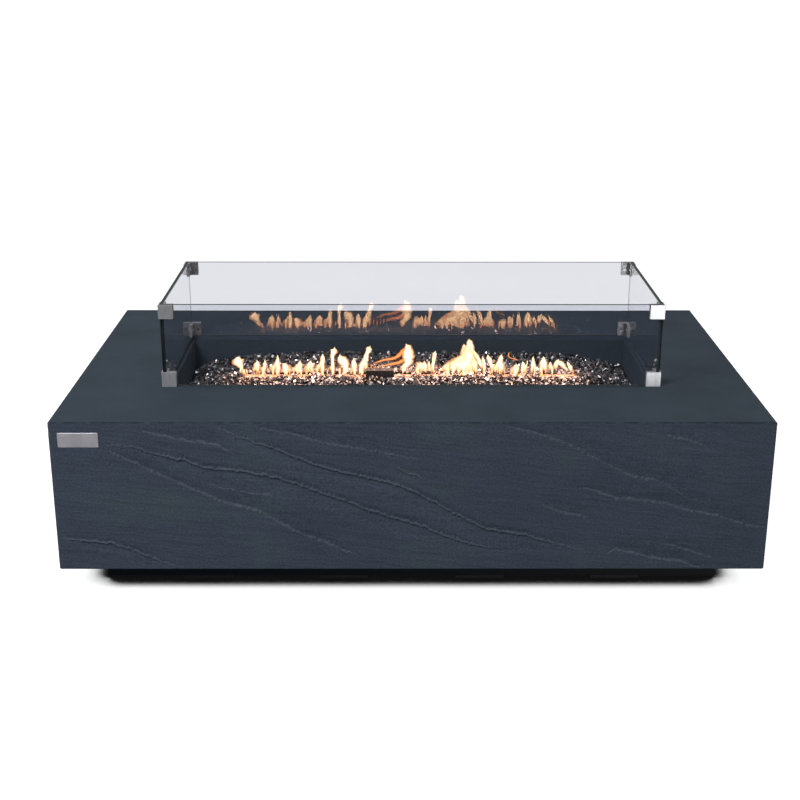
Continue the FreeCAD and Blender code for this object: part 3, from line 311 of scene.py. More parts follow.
def make_slate_group():
    """Layers that dip along the sides, and a smooth top with a patchy painted highlight and shade along its edges."""
    group, given, result = new_group("slate", [
        ("Top Color", COLOR, (0.039, 0.0535, 0.069, 1)),
        ("Side Color", COLOR, (0.049, 0.063, 0.089, 1)),
        ("Stain Color", COLOR, (0.050, 0.066, 0.080, 1)),
    ], SURFACE_OUTPUTS)
    place = object_place(group)
    x, y, z = axes_of(group, place)
    on_top = remap(group, z, TABLE_TOP - ARRIS, TABLE_TOP)
    near_edges = []
    for across, half in ((x, HALF_LENGTH), (y, HALF_WIDTH)):
        reach = math_node(group, "ADD", math_node(group, "ABSOLUTE", across), z)
        near_edges.append(math_node(group, "GREATER_THAN", reach, half + TABLE_TOP - EDGE_PAINT_BAND))
    on_edge = math_node(group, "MAXIMUM", *near_edges)

    # Hand-sized clouds, thumb-sized patches and grit, then two finenesses of layers.
    cloud = cloudy(group, place, 7.0, 6.0, Roughness=0.6)
    patch = cloudy(group, place, 42.0, 5.0, Roughness=0.65)
    speck = cloudy(group, place, 260.0, 3.0, Roughness=0.7)
    dipping = product(group, math_node(group, "ADD", x, y), DIP)
    bedding = math_node(group, "ADD", math_node(group, "ADD", z, dipping), product(group, cloud, 0.03))
    layers = add_node(group, "ShaderNodeCombineXYZ", {0: x, 1: y, 2: bedding}).outputs[0]
    broad_stripe = cloudy(group, stretch(group, layers, (5.0, 5.0, 70.0)), 1.0, 3.0)
    stripe = cloudy(group, stretch(group, layers, (9.0, 9.0, 210.0)), 1.0, 6.0, Roughness=0.66, Distortion=0.15)

    # Colour: mottled on top, layered and stained on the sides, and a patchy painted highlight and shade along the top
    # edges.
    mottle = weighted(group, (cloud, 0.55), (patch, 0.45))
    top_color = brighten(group, given["Top Color"], remap(group, mottle, 0.35, 0.65, 0.82, 1.18))
    lined = weighted(group, (stripe, 0.42), (speck, 0.22), (broad_stripe, 0.16), (cloud, 0.20))
    rock = mix_colors(group, remap(group, cloud, 0.54, 0.70), given["Side Color"], given["Stain Color"])
    side_color = brighten(group, rock, remap(group, lined, 0.35, 0.65, 0.76, 1.26))
    # Painted highlight and shade on the top edges: 0.62 to 1.1 times as bright, patch by patch.
    painted_edge_light = mix_numbers(group, on_edge, 1.0, remap(group, patch, 0.42, 0.62, 0.62, 1.1))
    grit = mix_numbers(group, on_top, remap(group, speck, 0.32, 0.68, 0.80, 1.22), 1.0)
    color = brighten(group, mix_colors(group, on_top, side_color, top_color), product(group, painted_edge_light, grit))

    # Relief: strong on the sides, faint on top.
    side_height = weighted(group, (stripe, 1.1), (speck, 0.5), (patch, 1.4), (broad_stripe, 2.0), (cloud, 3.0))
    top_height = weighted(group, (speck, 0.12), (patch, 0.10))
    height = mix_numbers(group, on_top, side_height, top_height)
    hand_over(group, result, Color=color, Roughness=remap(group, patch, 0.3, 0.7, 0.62, 0.8), Height=height)
    return group


slate_group = make_slate_group()
print("group", slate_group.name, "nodes", len(slate_group.nodes))

# %% [markdown]
# ## Materials
# One material for each slot in the record, and a few that the looks need besides.
# Each is a Principled shader fed by one of the shared groups; what is constant sits on the shader itself.

# %% How a material is made
def principled(name, group, group_inputs, relief, **constants):
    """Material whose colour, roughness and relief come from a shared group."""
    material, tree, shader, effect = new_shader(name, group, group_inputs, **constants)
    tree.links.new(effect["Color"], shader.inputs["Base Color"])
    tree.links.new(effect["Roughness"], shader.inputs["Roughness"])
    if relief:
        bump = add_node(tree, "ShaderNodeBump", {"Height": effect["Height"], "Distance": relief, "Strength": 1.0})
        tree.links.new(bump.outputs[0], shader.inputs["Normal"])
    return material


def grained(name, color, roughness, grain, spread, along=(1, 1, 1), relief=0.0, **constants):
    """Material with the grain effect."""
    given = {"Color": (*color, 1), "Roughness": roughness, "Grain": grain, "Spread": spread, "Stretch": along}
    return principled(name, grain_group, given, relief, **constants)


# Each row: colour, roughness, grains per metre, how far they vary, and what else differs from the plain shader.
STEEL = dict(Metallic=1.0)
COARSE = dict(relief=0.05 * MM)
BRUSHED = dict(relief=0.02 * MM)
MOULDED = dict(relief=0.03 * MM)
ALONG_X = dict(along=(0.04, 1, 1))
ALONG_Y = dict(along=(1, 0.04, 1))
ALONG_Z = dict(along=(1, 1, 0.04))
FINISHES = {
    "plinth_black": ((0.003, 0.009, 0.014), 0.6, 900, 0.2, dict(Specular_IOR_Level=0.1, **COARSE)),
    "zinc_steel": ((0.55, 0.55, 0.55), 0.35, 700, 0.15, STEEL),
    "pad_rubber": ((0.022, 0.023, 0.025), 0.8, 600, 0.25, dict(Specular_IOR_Level=0.2, **COARSE)),
    "plate_steel": ((0.86, 0.85, 0.92), 0.42, 900, 0.3, dict(**ALONG_X, **BRUSHED, **STEEL)),
    "pan_enamel": ((0.042, 0.056, 0.073), 0.6, 120, 0.25, dict(Specular_IOR_Level=0.05, **COARSE)),
    "fire_glass": ((0.058, 0.053, 0.056), 0.07, 120, 0.9, dict(IOR=1.75)),
    # The burner tube's orange-brown colour is painted warm light from the flames.
    "burner_steel": ((0.20, 0.11, 0.06), 0.5, 300, 0.5, dict(Metallic=0.3)),
    "mixer_alloy": ((0.5, 0.5, 0.5), 0.5, 500, 0.2, dict(**COARSE, **STEEL)),
    "brass": ((0.60, 0.43, 0.18), 0.3, 500, 0.15, STEEL),
    "hose_steel": ((0.5, 0.5, 0.5), 0.35, 500, 0.2, STEEL),
    "pilot_steel": ((0.006, 0.006, 0.006), 0.6, 300, 0.3, dict(Specular_IOR_Level=0.15)),
    "electrode_ceramic": ((0.75, 0.73, 0.68), 0.25, 200, 0.08, {}),
    "lead_insulation": ((0.35, 0.05, 0.03), 0.5, 300, 0.1, {}),
    "copper_lead": ((0.50, 0.25, 0.12), 0.3, 300, 0.15, STEEL),
    "clip_plastic": ((0.03, 0.03, 0.03), 0.5, 500, 0.15, {}),
    "panel_steel": ((0.45, 0.45, 0.45), 0.34, 900, 0.25, dict(**ALONG_Y, **BRUSHED, **STEEL)),
    "valve_alloy": ((0.45, 0.45, 0.44), 0.5, 500, 0.2, dict(**COARSE, **STEEL)),
    "spring_steel": ((0.4, 0.4, 0.4), 0.3, 500, 0.1, STEEL),
    "stem_steel": ((0.5, 0.5, 0.5), 0.3, 500, 0.1, STEEL),
    "knob_plastic": ((0.02, 0.02, 0.02), 0.45, 1200, 0.2, MOULDED),
    "igniter_plastic": ((0.025, 0.025, 0.026), 0.45, 1200, 0.2, MOULDED),
    "battery_wrap": ((0.3, 0.3, 0.32), 0.25, 200, 0.08, {}),
    "button_plastic": ((0.03, 0.03, 0.03), 0.22, 600, 0.15, {}),
    "liner_rubber": ((0.3, 0.31, 0.31), 0.5, 500, 0.15, {}),
    "screw_chrome": ((0.40, 0.40, 0.41), 0.2, 400, 0.1, STEEL),
    "clip_steel": ((0.42, 0.42, 0.44), 0.42, 800, 0.4, dict(Metallic=0.8, **ALONG_Z, **BRUSHED)),
    "clear_glass": ((0.83, 0.845, 0.89), 0.0, 40, 0.004, dict(Transmission_Weight=1.0, IOR=1.45)),
    "glass_edge": ((0.010, 0.019, 0.019), 0.5, 200, 0.2, dict(Specular_IOR_Level=0.1)),
    # Near black under the chips: painted shade in the gaps between them.
    "bed_shade": ((0.006, 0.006, 0.007), 0.9, 200, 0.3, dict(Specular_IOR_Level=0.0)),
    "mirror_glass": ((0.80, 0.80, 0.84), 0.06, 200, 0.3, STEEL),
    # A darker copy of the clip steel for the inner clips: painted shade.
    "clip_steel_shaded_inner": ((0.15, 0.145, 0.15), 0.4, 800, 0.5, dict(Metallic=0.6, **ALONG_Z, **BRUSHED)),
}
print("finishes", len(FINISHES))

# %% Dress the CAD nodes
STONE_SHEEN = dict(Specular_IOR_Level=0.05)
# Lighter stone for the broken faces that face upwards: part fresh stone, part painted highlight.
BROKEN_AND_LIT = {"Side Color": (0.066, 0.080, 0.106, 1), "Stain Color": (0.064, 0.080, 0.096, 1)}


def let_light_through(material):
    """Lets shadow rays and scattered light pass a pane, so that what stands behind it is lit without grain."""
    tree = material.node_tree
    rays = add_node(tree, "ShaderNodeLightPath").outputs
    passing = math_node(tree, "MAXIMUM", rays["Is Shadow Ray"], rays["Is Diffuse Ray"])
    tree.links.new(math_node(tree, "SUBTRACT", 1.0, passing), tree.nodes["Principled BSDF"].inputs["Alpha"])


looks = {name: grained(name, *row[:4], **row[4]) for name, row in FINISHES.items()}
looks["concrete"] = principled("concrete", slate_group, {}, 0.8 * MM, **STONE_SHEEN)
looks["broken_lit_slate"] = principled("broken_lit_slate", slate_group, BROKEN_AND_LIT, 1.6 * MM, **STONE_SHEEN)
let_light_through(looks["clear_glass"])
# The inner clips wear the darker copy of the clip steel, as painted shade.
for name, thing in nodes.items():
    dress(thing, looks["clip_steel_shaded_inner" if name.startswith("clip_inner") else slot_of[name]])
# The CAD bed is dressed near black, as painted shade between the chips.
dress(nodes["fire_glass"], looks["bed_shade"])
print("materials", len(looks))

# %% [markdown]
# ## Glass guard
# The cut edges of each pane are darker and greener than its faces, because light runs along the sheet there.
# Small bevels catch the light on the clips.

# %% Green edges on the panes, bevels on the metal
def green_edges(pane, thin_axis):
    """Puts the edge material on every face that isn't square to the sheet."""
    pane.data.materials.append(looks["glass_edge"])
    for polygon in pane.data.polygons:
        polygon.material_index = 0 if abs(polygon.normal[thin_axis]) > 0.9 else 1


def soften(thing, width):
    """Rounds the sharp edges of a CAD piece with a live bevel."""
    bevel = thing.modifiers.new("soft_edges", "BEVEL")
    bevel.width = width
    bevel.segments = 2
    bevel.limit_method = "ANGLE"
    bevel.angle_limit = math.radians(50)
    bevel.harden_normals = False


for name, thin_axis in (("pane_front", 1), ("pane_back", 1), ("pane_left", 0), ("pane_right", 0)):
    green_edges(nodes[name], thin_axis)
for name in nodes:
    if name.startswith(("clip_outer", "clip_inner")):
        soften(nodes[name], 0.5 * MM)
print("panes and clips dressed")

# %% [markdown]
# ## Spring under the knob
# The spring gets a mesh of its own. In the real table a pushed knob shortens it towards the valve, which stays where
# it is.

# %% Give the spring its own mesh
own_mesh(nodes["stem_spring"])

# %% [markdown]
# ## Split-slate sides
# Each ledge follows a route across a side. A cutter sweeps a small profile along that route:
# a steep wall at the ledge, and a floor that climbs back to the surface.
# One exact boolean takes all cutters off a copy of the CAD body, so the copy stays closed and inside the CAD box.

# %% Ledge routes
# Each ledge: its kind, its depth, how far its floor reaches, and the route along the side, in mm.
OVERHANG = 1
SHELF = -1
front_ledges = [
    (OVERHANG, 5.1, 46, [(-416, 392), (-368, 371), (-293, 345), (-211, 309), (-171, 296), (-101, 280), (-34, 263),
        (24, 235), (82, 200), (160, 158), (237, 146), (305, 125), (373, 106)]),
    (OVERHANG, 4.6, 42, [(-650, 350), (-591, 348), (-548, 332), (-489, 319), (-441, 300), (-361, 293), (-280, 275),
        (-225, 254), (-144, 224), (-88, 201), (22, 164), (83, 137), (155, 115), (251, 110)]),
    (SHELF, 4.8, 44, [(-645, 345), (-577, 309), (-492, 266), (-416, 231), (-325, 203), (-255, 158), (-195, 134),
        (-117, 99)]),
    (OVERHANG, 3.8, 34, [(-758, 135), (-655, 125), (-617, 113), (-562, 87), (-517, 70)]),
    (SHELF, 2.8, 40, [(-470, 273), (-405, 257), (-345, 245), (-292, 243)]),
    (SHELF, 2.8, 36, [(-572, 389), (-487, 368), (-417, 359), (-380, 337)]),
    (SHELF, 2.2, 40, [(-325, 395), (-250, 382), (-195, 364), (14, 325)]),
    (SHELF, 4.4, 46, [(197, 400), (274, 380), (345, 353), (406, 318), (474, 284), (517, 279), (550, 263), (597, 231),
        (640, 218)]),
    (SHELF, 4.4, 40, [(366, 261), (438, 235), (531, 226), (577, 212), (661, 193), (716, 174), (762, 167)]),
    (SHELF, 3.6, 34, [(427, 104), (444, 115), (529, 93), (586, 86), (631, 69)]),
    (SHELF, 2.6, 34, [(280, 219), (330, 200), (380, 191)]),
    (OVERHANG, 2.0, 26, [(-39, 302), (-15, 291), (23, 275)]),
    (SHELF, 2.2, 30, [(538, 380), (586, 368), (620, 357)]),
    (SHELF, 2.2, 30, [(548, 129), (604, 110), (653, 96)]),
]
LOWEST_LEDGE = 66


def drawn_ledges(seed, half_length, count):
    """Ledges of the same kind for a side that the photo doesn't show."""
    draw = random.Random(seed)
    ledges = []
    for k in range(count):
        u = -half_length + 2 * half_length * (k + draw.uniform(0.0, 0.5)) / count
        v = draw.uniform(200, 395)
        route = [(u, v)]
        while len(route) < 9 and u < half_length - 20 and v > 80:
            u += draw.uniform(35, 75)
            v -= draw.uniform(4, 34)
            route.append((min(u, half_length - 4), max(v, LOWEST_LEDGE)))
        kind = OVERHANG if draw.random() < 0.4 else SHELF
        ledges.append((kind, draw.uniform(2.2, 4.8), draw.uniform(28, 46), route))
    return ledges


print("front ledges", len(front_ledges))

# %% Ledge cutters
# All in mm. A cutter's back stands clear of the side; where it takes nothing off, its face only skims over it.
ROUTE_STEP = 5.0
CLEAR = 1.0
SKIM = 0.06
PROUD_REACH = 20


def along_route(route):
    """Points every few millimetres along a route in the plane of a side."""
    points = []
    for (u0, v0), (u1, v1) in zip(route, route[1:]):
        count = max(1, round((u1 - u0) / ROUTE_STEP))
        points += [(u0 + (u1 - u0) * k / count, v0 + (v1 - v0) * k / count) for k in range(count)]
    return points + [route[-1]]


def ledge_profile(kind, depth, floor_depth, fade, swell, width):
    """Offsets across the route, depths under the surface and broken or not, from the proud side to the faded side. The
    broken faces all face upwards and get the lighter stone with its painted highlight.
    """
    if kind == OVERHANG:
        lip = [(16, -SKIM, False), (1.2 + width, (0.25 + 0.45 * swell) * depth, True), (1.2, -SKIM, False)]
        step = [(0.0, depth, False)]
    else:
        lip = [(width, -SKIM, True)]
        step = [(0.45 * width, 0.45 * depth, True), (0.0, depth, False)]
    floor = [(-0.12 * fade, 0.85 * floor_depth, False), (-0.4 * fade, 0.5 * floor_depth, False), (-fade, -SKIM, False)]
    start = [(PROUD_REACH, -CLEAR, False), (PROUD_REACH, -SKIM, False)]
    points = start + lip + step + floor + [(-fade, -CLEAR, False)]
    return [(kind * offset, down, broken) for offset, down, broken in points]


def sweep(sections):
    """Faces between neighbouring closed sections and over both ends."""
    size = len(sections[0])
    faces = []
    for k in range(len(sections) - 1):
        for j in range(size):
            after = (j + 1) % size
            faces.append((k * size + j, k * size + after, (k + 1) * size + after, (k + 1) * size + j))
    last = (len(sections) - 1) * size
    faces.append(tuple(range(size)))
    faces.append(tuple(last + j for j in reversed(range(size))))
    return faces


def swept(sections, marks):
    """Vertices, faces and broken faces of one closed cutter; its two ends aren't broken. The broken faces get the
    lighter stone with its painted highlight.
    """
    flat_marks = [mark for row in marks[:-1] for mark in row] + [False, False]
    return [place for section in sections for place in section], sweep(sections), flat_marks


def ledge_cutter(ledge, to_space, seed):
    """Cutter for one ledge, ragged along its route and fading out at both ends."""
    kind, depth, fade, route = ledge
    points = along_route(route)
    sections = []
    marks = []
    for k, (u, v) in enumerate(points):
        share = min(k, len(points) - 1 - k) / max(1.0, 0.2 * len(points))
        taper = 0.08 + 0.92 * min(1.0, share)
        rough = noise.noise(Vector((u * 0.05, seed, 0.0)))
        chip = noise.noise(Vector((u * 0.35, seed, 5.0)))
        torn = noise.noise(Vector((u * 0.22, seed, 9.0)))
        v = v + 3.0 * rough + 4.6 * chip
        profile = ledge_profile(
            kind, depth * taper * (0.9 + 0.5 * chip), depth * taper, fade * taper * (1 + 0.35 * rough),
            swell=0.5 + 0.5 * rough, width=max(1.0, 4.5 + 7.0 * torn + 2.0 * rough))
        sections.append([to_space(u, v + offset, down) for offset, down, broken in profile])
        marks.append([broken for offset, down, broken in profile])
    return swept(sections, marks)


half_x = HALF_LENGTH / MM
half_y = HALF_WIDTH / MM
sides = {
    "front": (front_ledges, lambda u, v, down: (u * MM, (-half_y + down) * MM, v * MM)),
    "back": (drawn_ledges(11, half_x, 11), lambda u, v, down: (-u * MM, (half_y - down) * MM, v * MM)),
    "right": (drawn_ledges(5, half_y, 6), lambda u, v, down: ((half_x - down) * MM, u * MM, v * MM)),
    "left": (drawn_ledges(8, half_y, 6), lambda u, v, down: ((-half_x + down) * MM, -u * MM, v * MM)),
}
print("ledges", {side: len(ledges) for side, (ledges, _) in sides.items()})

# %% Edge cutters
EDGE_STEP = 5 * MM
EDGE_CLEAR = 4 * MM
PAST_CORNER = 5 * MM
UPRIGHT_REACH = 2.2 * MM
TOP_REACH = 1.0 * MM


def edge_cutter(start, end, out_a, out_b, reach, seed):
    """Ragged bevel along one outer edge: a three-sided sweep whose two setbacks vary along the way."""
    start, end, out_a, out_b = (Vector(v) for v in (start, end, out_a, out_b))
    count = round((end - start).length / EDGE_STEP)
    sections = []
    for k in range(count + 1):
        corner = start.lerp(end, k / count)
        wave = noise.noise(Vector((k * 0.13, seed, 1.0)))
        chip = noise.noise(Vector((k * 0.9, seed, 4.0)))
        setback_a = 0.9 * ARRIS + reach * max(0.0, wave) + 0.6 * reach * max(0.0, chip)
        setback_b = 0.9 * ARRIS + 0.8 * reach * max(0.0, wave - chip)
        first = corner - out_a * setback_a
        second = corner - out_b * setback_b
        along = (first - second).normalized() * EDGE_CLEAR
        outside = corner + (out_a + out_b) * 2 * EDGE_CLEAR
        sections.append([tuple(first + along), tuple(second - along), tuple(outside)])
    # The bevel face leaves broken stone, lighter and with a painted highlight along the edge.
    return swept(sections, [[True, False, False]] * len(sections))


def outer_edges():
    """Start, end, the two outward directions and the reach of every edge that the light shows up."""
    x, y, top = HALF_LENGTH, HALF_WIDTH, TABLE_TOP
    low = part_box("shell")[0].z - PAST_CORNER
    high = top + PAST_CORNER
    past_x = x + PAST_CORNER
    past_y = y + PAST_CORNER
    both = (-1, 1)
    upright = [((sx * x, sy * y, low), (sx * x, sy * y, high), (sx, 0, 0), (0, sy, 0), UPRIGHT_REACH)
               for sx in both for sy in both]
    along_x = [((-past_x, sy * y, top), (past_x, sy * y, top), (0, 0, 1), (0, sy, 0), TOP_REACH) for sy in both]
    along_y = [((sx * x, -past_y, top), (sx * x, past_y, top), (0, 0, 1), (sx, 0, 0), TOP_REACH) for sx in both]
    return upright + along_x + along_y


print("edges", len(outer_edges()))

# %% Cut the body
def dress_in_stone(thing):
    """Weathered stone first, and second the lighter, freshly broken stone, which is also a painted highlight on the
    faces that face upwards.
    """
    dress(thing, looks["concrete"], looks["broken_lit_slate"])


def all_cutters():
    """Every ledge and edge cutter in one mesh; the faces that leave broken stone use the second material, lighter as
    fresh stone and as a painted highlight.
    """
    cutters = []
    for ledges, to_space in sides.values():
        for ledge in ledges:
            cutters.append(ledge_cutter(ledge, to_space, len(cutters) + 1))
    for edge in outer_edges():
        cutters.append(edge_cutter(*edge, len(cutters) + 1))
    vertices, faces, broken = joined(cutters)
    made = mesh_object("cutters", vertices, faces)
    dress_in_stone(made)
    made.data.polygons.foreach_set("material_index", [int(mark) for mark in broken])
    return made


def slate_body():
    """Copy of the CAD body with every cutter taken off it."""
    body = link(bpy.data.objects.new("slate_body", nodes["shell"].data.copy()))
    cutters = all_cutters()
    dress_in_stone(body)
    cut = body.modifiers.new("ledges", "BOOLEAN")
    cut.operation = "DIFFERENCE"
    cut.solver = "EXACT"
    cut.use_self = True
    cut.object = cutters
    mesh = evaluated_mesh(body)
    body.modifiers.clear()
    body.data = mesh
    bpy.data.objects.remove(cutters)
    return body


body = slate_body()
body.data.polygons.foreach_set("use_smooth", [False] * len(body.data.polygons))
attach(body, "table")
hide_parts("shell")
print("slate body triangles", triangles(body), "broken faces", sum(p.material_index == 1 for p in body.data.polygons))

# %% [markdown]
# ## Fire glass
# Geometry Nodes scatters broken chips over the bed: points on a mesh, one of a few chip shapes at each,
# a random turn and size, then real geometry with its material set.

# %% Chip shapes
CHIP_SHAPES = 6
CHIP_POINTS = 9
FIRST_CHIP_SEED = 40


def chip_shape(name, seed):
    """Sharp lump: the hull of a few scattered points."""
    draw = random.Random(seed)
    shape = bmesh.new()
    for _ in range(CHIP_POINTS):
        direction = Vector((draw.gauss(0, 1), draw.gauss(0, 1), draw.gauss(0, 1))).normalized()
        reach = draw.uniform(0.75, 1.0)
        shape.verts.new(Vector((direction.x, direction.y * 0.8, direction.z * 0.6)) * reach)
    hull = bmesh.ops.convex_hull(shape, input=shape.verts)
    inside = [g for g in hull["geom_interior"] if isinstance(g, bmesh.types.BMVert)]
    bmesh.ops.delete(shape, geom=inside, context="VERTS")
    bmesh.ops.recalc_face_normals(shape, faces=shape.faces)
    mesh = bpy.data.meshes.new(name)
    shape.to_mesh(mesh)
    shape.free()
    return bpy.data.objects.new(name, mesh)


chips = bpy.data.collections.new("chip_shapes")
for k in range(CHIP_SHAPES):
    chips.objects.link(chip_shape("chip_" + str(k), FIRST_CHIP_SEED + k))

# %% The bed
PAN_LOW, PAN_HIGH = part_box("fire_glass")
_, TUBE_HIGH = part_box("burner_tube")
PILOT_LOW, PILOT_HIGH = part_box("pilot_shield")
PILOT_X = (PILOT_LOW.x + PILOT_HIGH.x) / 2
BED_STEP = 5 * MM
BED_INSET = 6 * MM
BED_DROP = 47 * MM
END_FALL = 37 * MM
RIM_RISE = 5 * MM
HEAP_HEIGHT, HEAP_REACH = 9 * MM, 60 * MM
MOUND_HEIGHT, MOUND_LENGTH, MOUND_WIDTH = 11 * MM, 16 * MM, 18 * MM
PILOT_HEIGHT, PILOT_LENGTH, PILOT_WIDTH, BEFORE_PILOT = 14 * MM, 40 * MM, 15 * MM, 8 * MM
CHIP_LIFT = 1.5 * MM
TUBE_GAP = 10 * MM
END_CAP = 8 * MM
PILOT_GAP = 4 * MM


def glass_level(x, y):
    """Height of the bed, as in the CAD model, with a mound over each end of the tube and one before the pilot."""
    fall = END_FALL * abs(x / PAN_HIGH.x) ** 5
    heap = HEAP_HEIGHT * max(0.0, 1 - abs(y) / HEAP_REACH)
    mound = MOUND_HEIGHT * math.exp(-((abs(x) - TUBE_HIGH.x) / MOUND_LENGTH) ** 2 - (y / MOUND_WIDTH) ** 2)
    pilot_y = PILOT_LOW.y - BEFORE_PILOT
    pilot_heap = PILOT_HEIGHT * math.exp(-((x - PILOT_X) / PILOT_LENGTH) ** 4 - ((y - pilot_y) / PILOT_WIDTH) ** 2)
    rise = RIM_RISE * (y / PAN_HIGH.y) ** 2
    return TABLE_TOP - BED_DROP - fall + heap + mound + pilot_heap + rise + CHIP_LIFT


def is_open(place):
    """Whether the bed leaves this place free for the burner tube or the pilot."""
    over_tube = abs(place.y) < TUBE_GAP and abs(place.x) < TUBE_HIGH.x - END_CAP
    beside_pilot = PILOT_LOW.x - PILOT_GAP < place.x < PILOT_HIGH.x + PILOT_GAP
    return over_tube or beside_pilot and PILOT_LOW.y + PILOT_GAP < place.y < PILOT_HIGH.y


def bed_surface():
    """Grid over the pan, open over the burner tube and the pilot."""
    length = PAN_HIGH.x - PAN_LOW.x - 2 * BED_INSET
    width = PAN_HIGH.y - PAN_LOW.y - 2 * BED_INSET
    columns = round(length / BED_STEP)
    rows = round(width / BED_STEP)
    vertices = []
    faces = []
    for j in range(rows + 1):
        for i in range(columns + 1):
            x = PAN_LOW.x + BED_INSET + length * i / columns
            y = PAN_LOW.y + BED_INSET + width * j / rows
            vertices.append((x, y, glass_level(x, y)))
    for j in range(rows):
        for i in range(columns):
            a = j * (columns + 1) + i
            opposite = a + columns + 2
            if not is_open((Vector(vertices[a]) + Vector(vertices[opposite])) / 2):
                faces.append((a, a + 1, opposite, opposite - 1))
    return mesh_object("bed_surface", vertices, faces)


print("bed falls", round((glass_level(0, 0) - glass_level(PAN_HIGH.x, 0)) / MM, 1), "mm to its ends")

# %% Geometry Nodes scatter
def make_scatter():
    """Node tree that turns a surface into a layer of chips."""
    tree = bpy.data.node_groups.new("scatter_chips", "GeometryNodeTree")
    tree.interface.new_socket("Geometry", in_out="INPUT", socket_type="NodeSocketGeometry")
    for label, kind, value in (("Density", NUMBER, 29000.0), ("Small", NUMBER, 3.2 * MM), ("Large", NUMBER, 8.0 * MM),
                               ("Relief", NUMBER, 4 * MM), ("Seed", "NodeSocketInt", 3)):
        tree.interface.new_socket(label, in_out="INPUT", socket_type=kind).default_value = value
    tree.interface.new_socket("Shapes", in_out="INPUT", socket_type="NodeSocketCollection")
    tree.interface.new_socket("Material", in_out="INPUT", socket_type="NodeSocketMaterial")
    tree.interface.new_socket("Geometry", in_out="OUTPUT", socket_type="NodeSocketGeometry")
    given = tree.nodes.new("NodeGroupInput").outputs
    result = tree.nodes.new("NodeGroupOutput")

    def drawn(inputs, kind):
        return add_node(tree, "FunctionNodeRandomValue", {**inputs, "Seed": given["Seed"]}, data_type=kind).outputs

    points = add_node(tree, "GeometryNodeDistributePointsOnFaces",
                      {"Mesh": given["Geometry"], "Density": given["Density"], "Seed": given["Seed"]})
    lift = drawn({2: product(tree, given["Relief"], -1.0), 3: given["Relief"]}, "FLOAT")[1]
    offset = add_node(tree, "ShaderNodeCombineXYZ", {2: lift}).outputs[0]
    moved = add_node(tree, "GeometryNodeSetPosition", {"Geometry": points.outputs["Points"], "Offset": offset})
    turn = drawn({0: (0, 0, 0), 1: (math.tau, math.tau, math.tau)}, "FLOAT_VECTOR")[0]
    size = drawn({2: given["Small"], 3: given["Large"]}, "FLOAT")[1]
    shapes = add_node(tree, "GeometryNodeCollectionInfo",
                      {"Collection": given["Shapes"], "Separate Children": True, "Reset Children": True})
    placed = add_node(tree, "GeometryNodeInstanceOnPoints",
                      {"Points": moved.outputs[0], "Instance": shapes.outputs[0], "Pick Instance": True,
                       "Rotation": turn, "Scale": size})
    real = add_node(tree, "GeometryNodeRealizeInstances", {"Geometry": placed.outputs[0]})
    coloured = add_node(tree, "GeometryNodeSetMaterial", {"Geometry": real.outputs[0], "Material": given["Material"]})
    hand_over(tree, result, Geometry=coloured.outputs[0])
    return tree


def scattered(source, tree, inputs, name):
    """Runs a geometry tree on an object and keeps the result as a plain mesh."""
    modifier = source.modifiers.new("nodes", "NODES")
    modifier.node_group = tree
    sockets = {item.name: item.identifier for item in tree.interface.items_tree if item.in_out == "INPUT"}
    for label, value in inputs.items():
        modifier[sockets[label]] = value
    source.update_tag()
    mesh = evaluated_mesh(source)
    bpy.data.objects.remove(source)
    return link(bpy.data.objects.new(name, mesh))


scatter = make_scatter()
FEW_AND_BRIGHT = {"Density": 3000.0, "Small": 3.0 * MM, "Large": 7.0 * MM, "Relief": 5 * MM, "Seed": 8}
for name, glass, settings in (("glass_chips", "fire_glass", {}), ("mirror_chips", "mirror_glass", FEW_AND_BRIGHT)):
    given = {"Shapes": chips, "Material": looks[glass], **settings}
    layer = scattered(bed_surface(), scatter, given, name)
    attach(layer, "table")
    print(name, "triangles", triangles(layer))

# %% [markdown]
# ## Flames
# Each flame follows a spine of a few points with a width at each, so that it can lean, hook and pinch off.
# Thin feet, one for each burner port, run up into it.
# Three nested shells, from a cream core to a faint orange rim, stand for the depth of the glow.

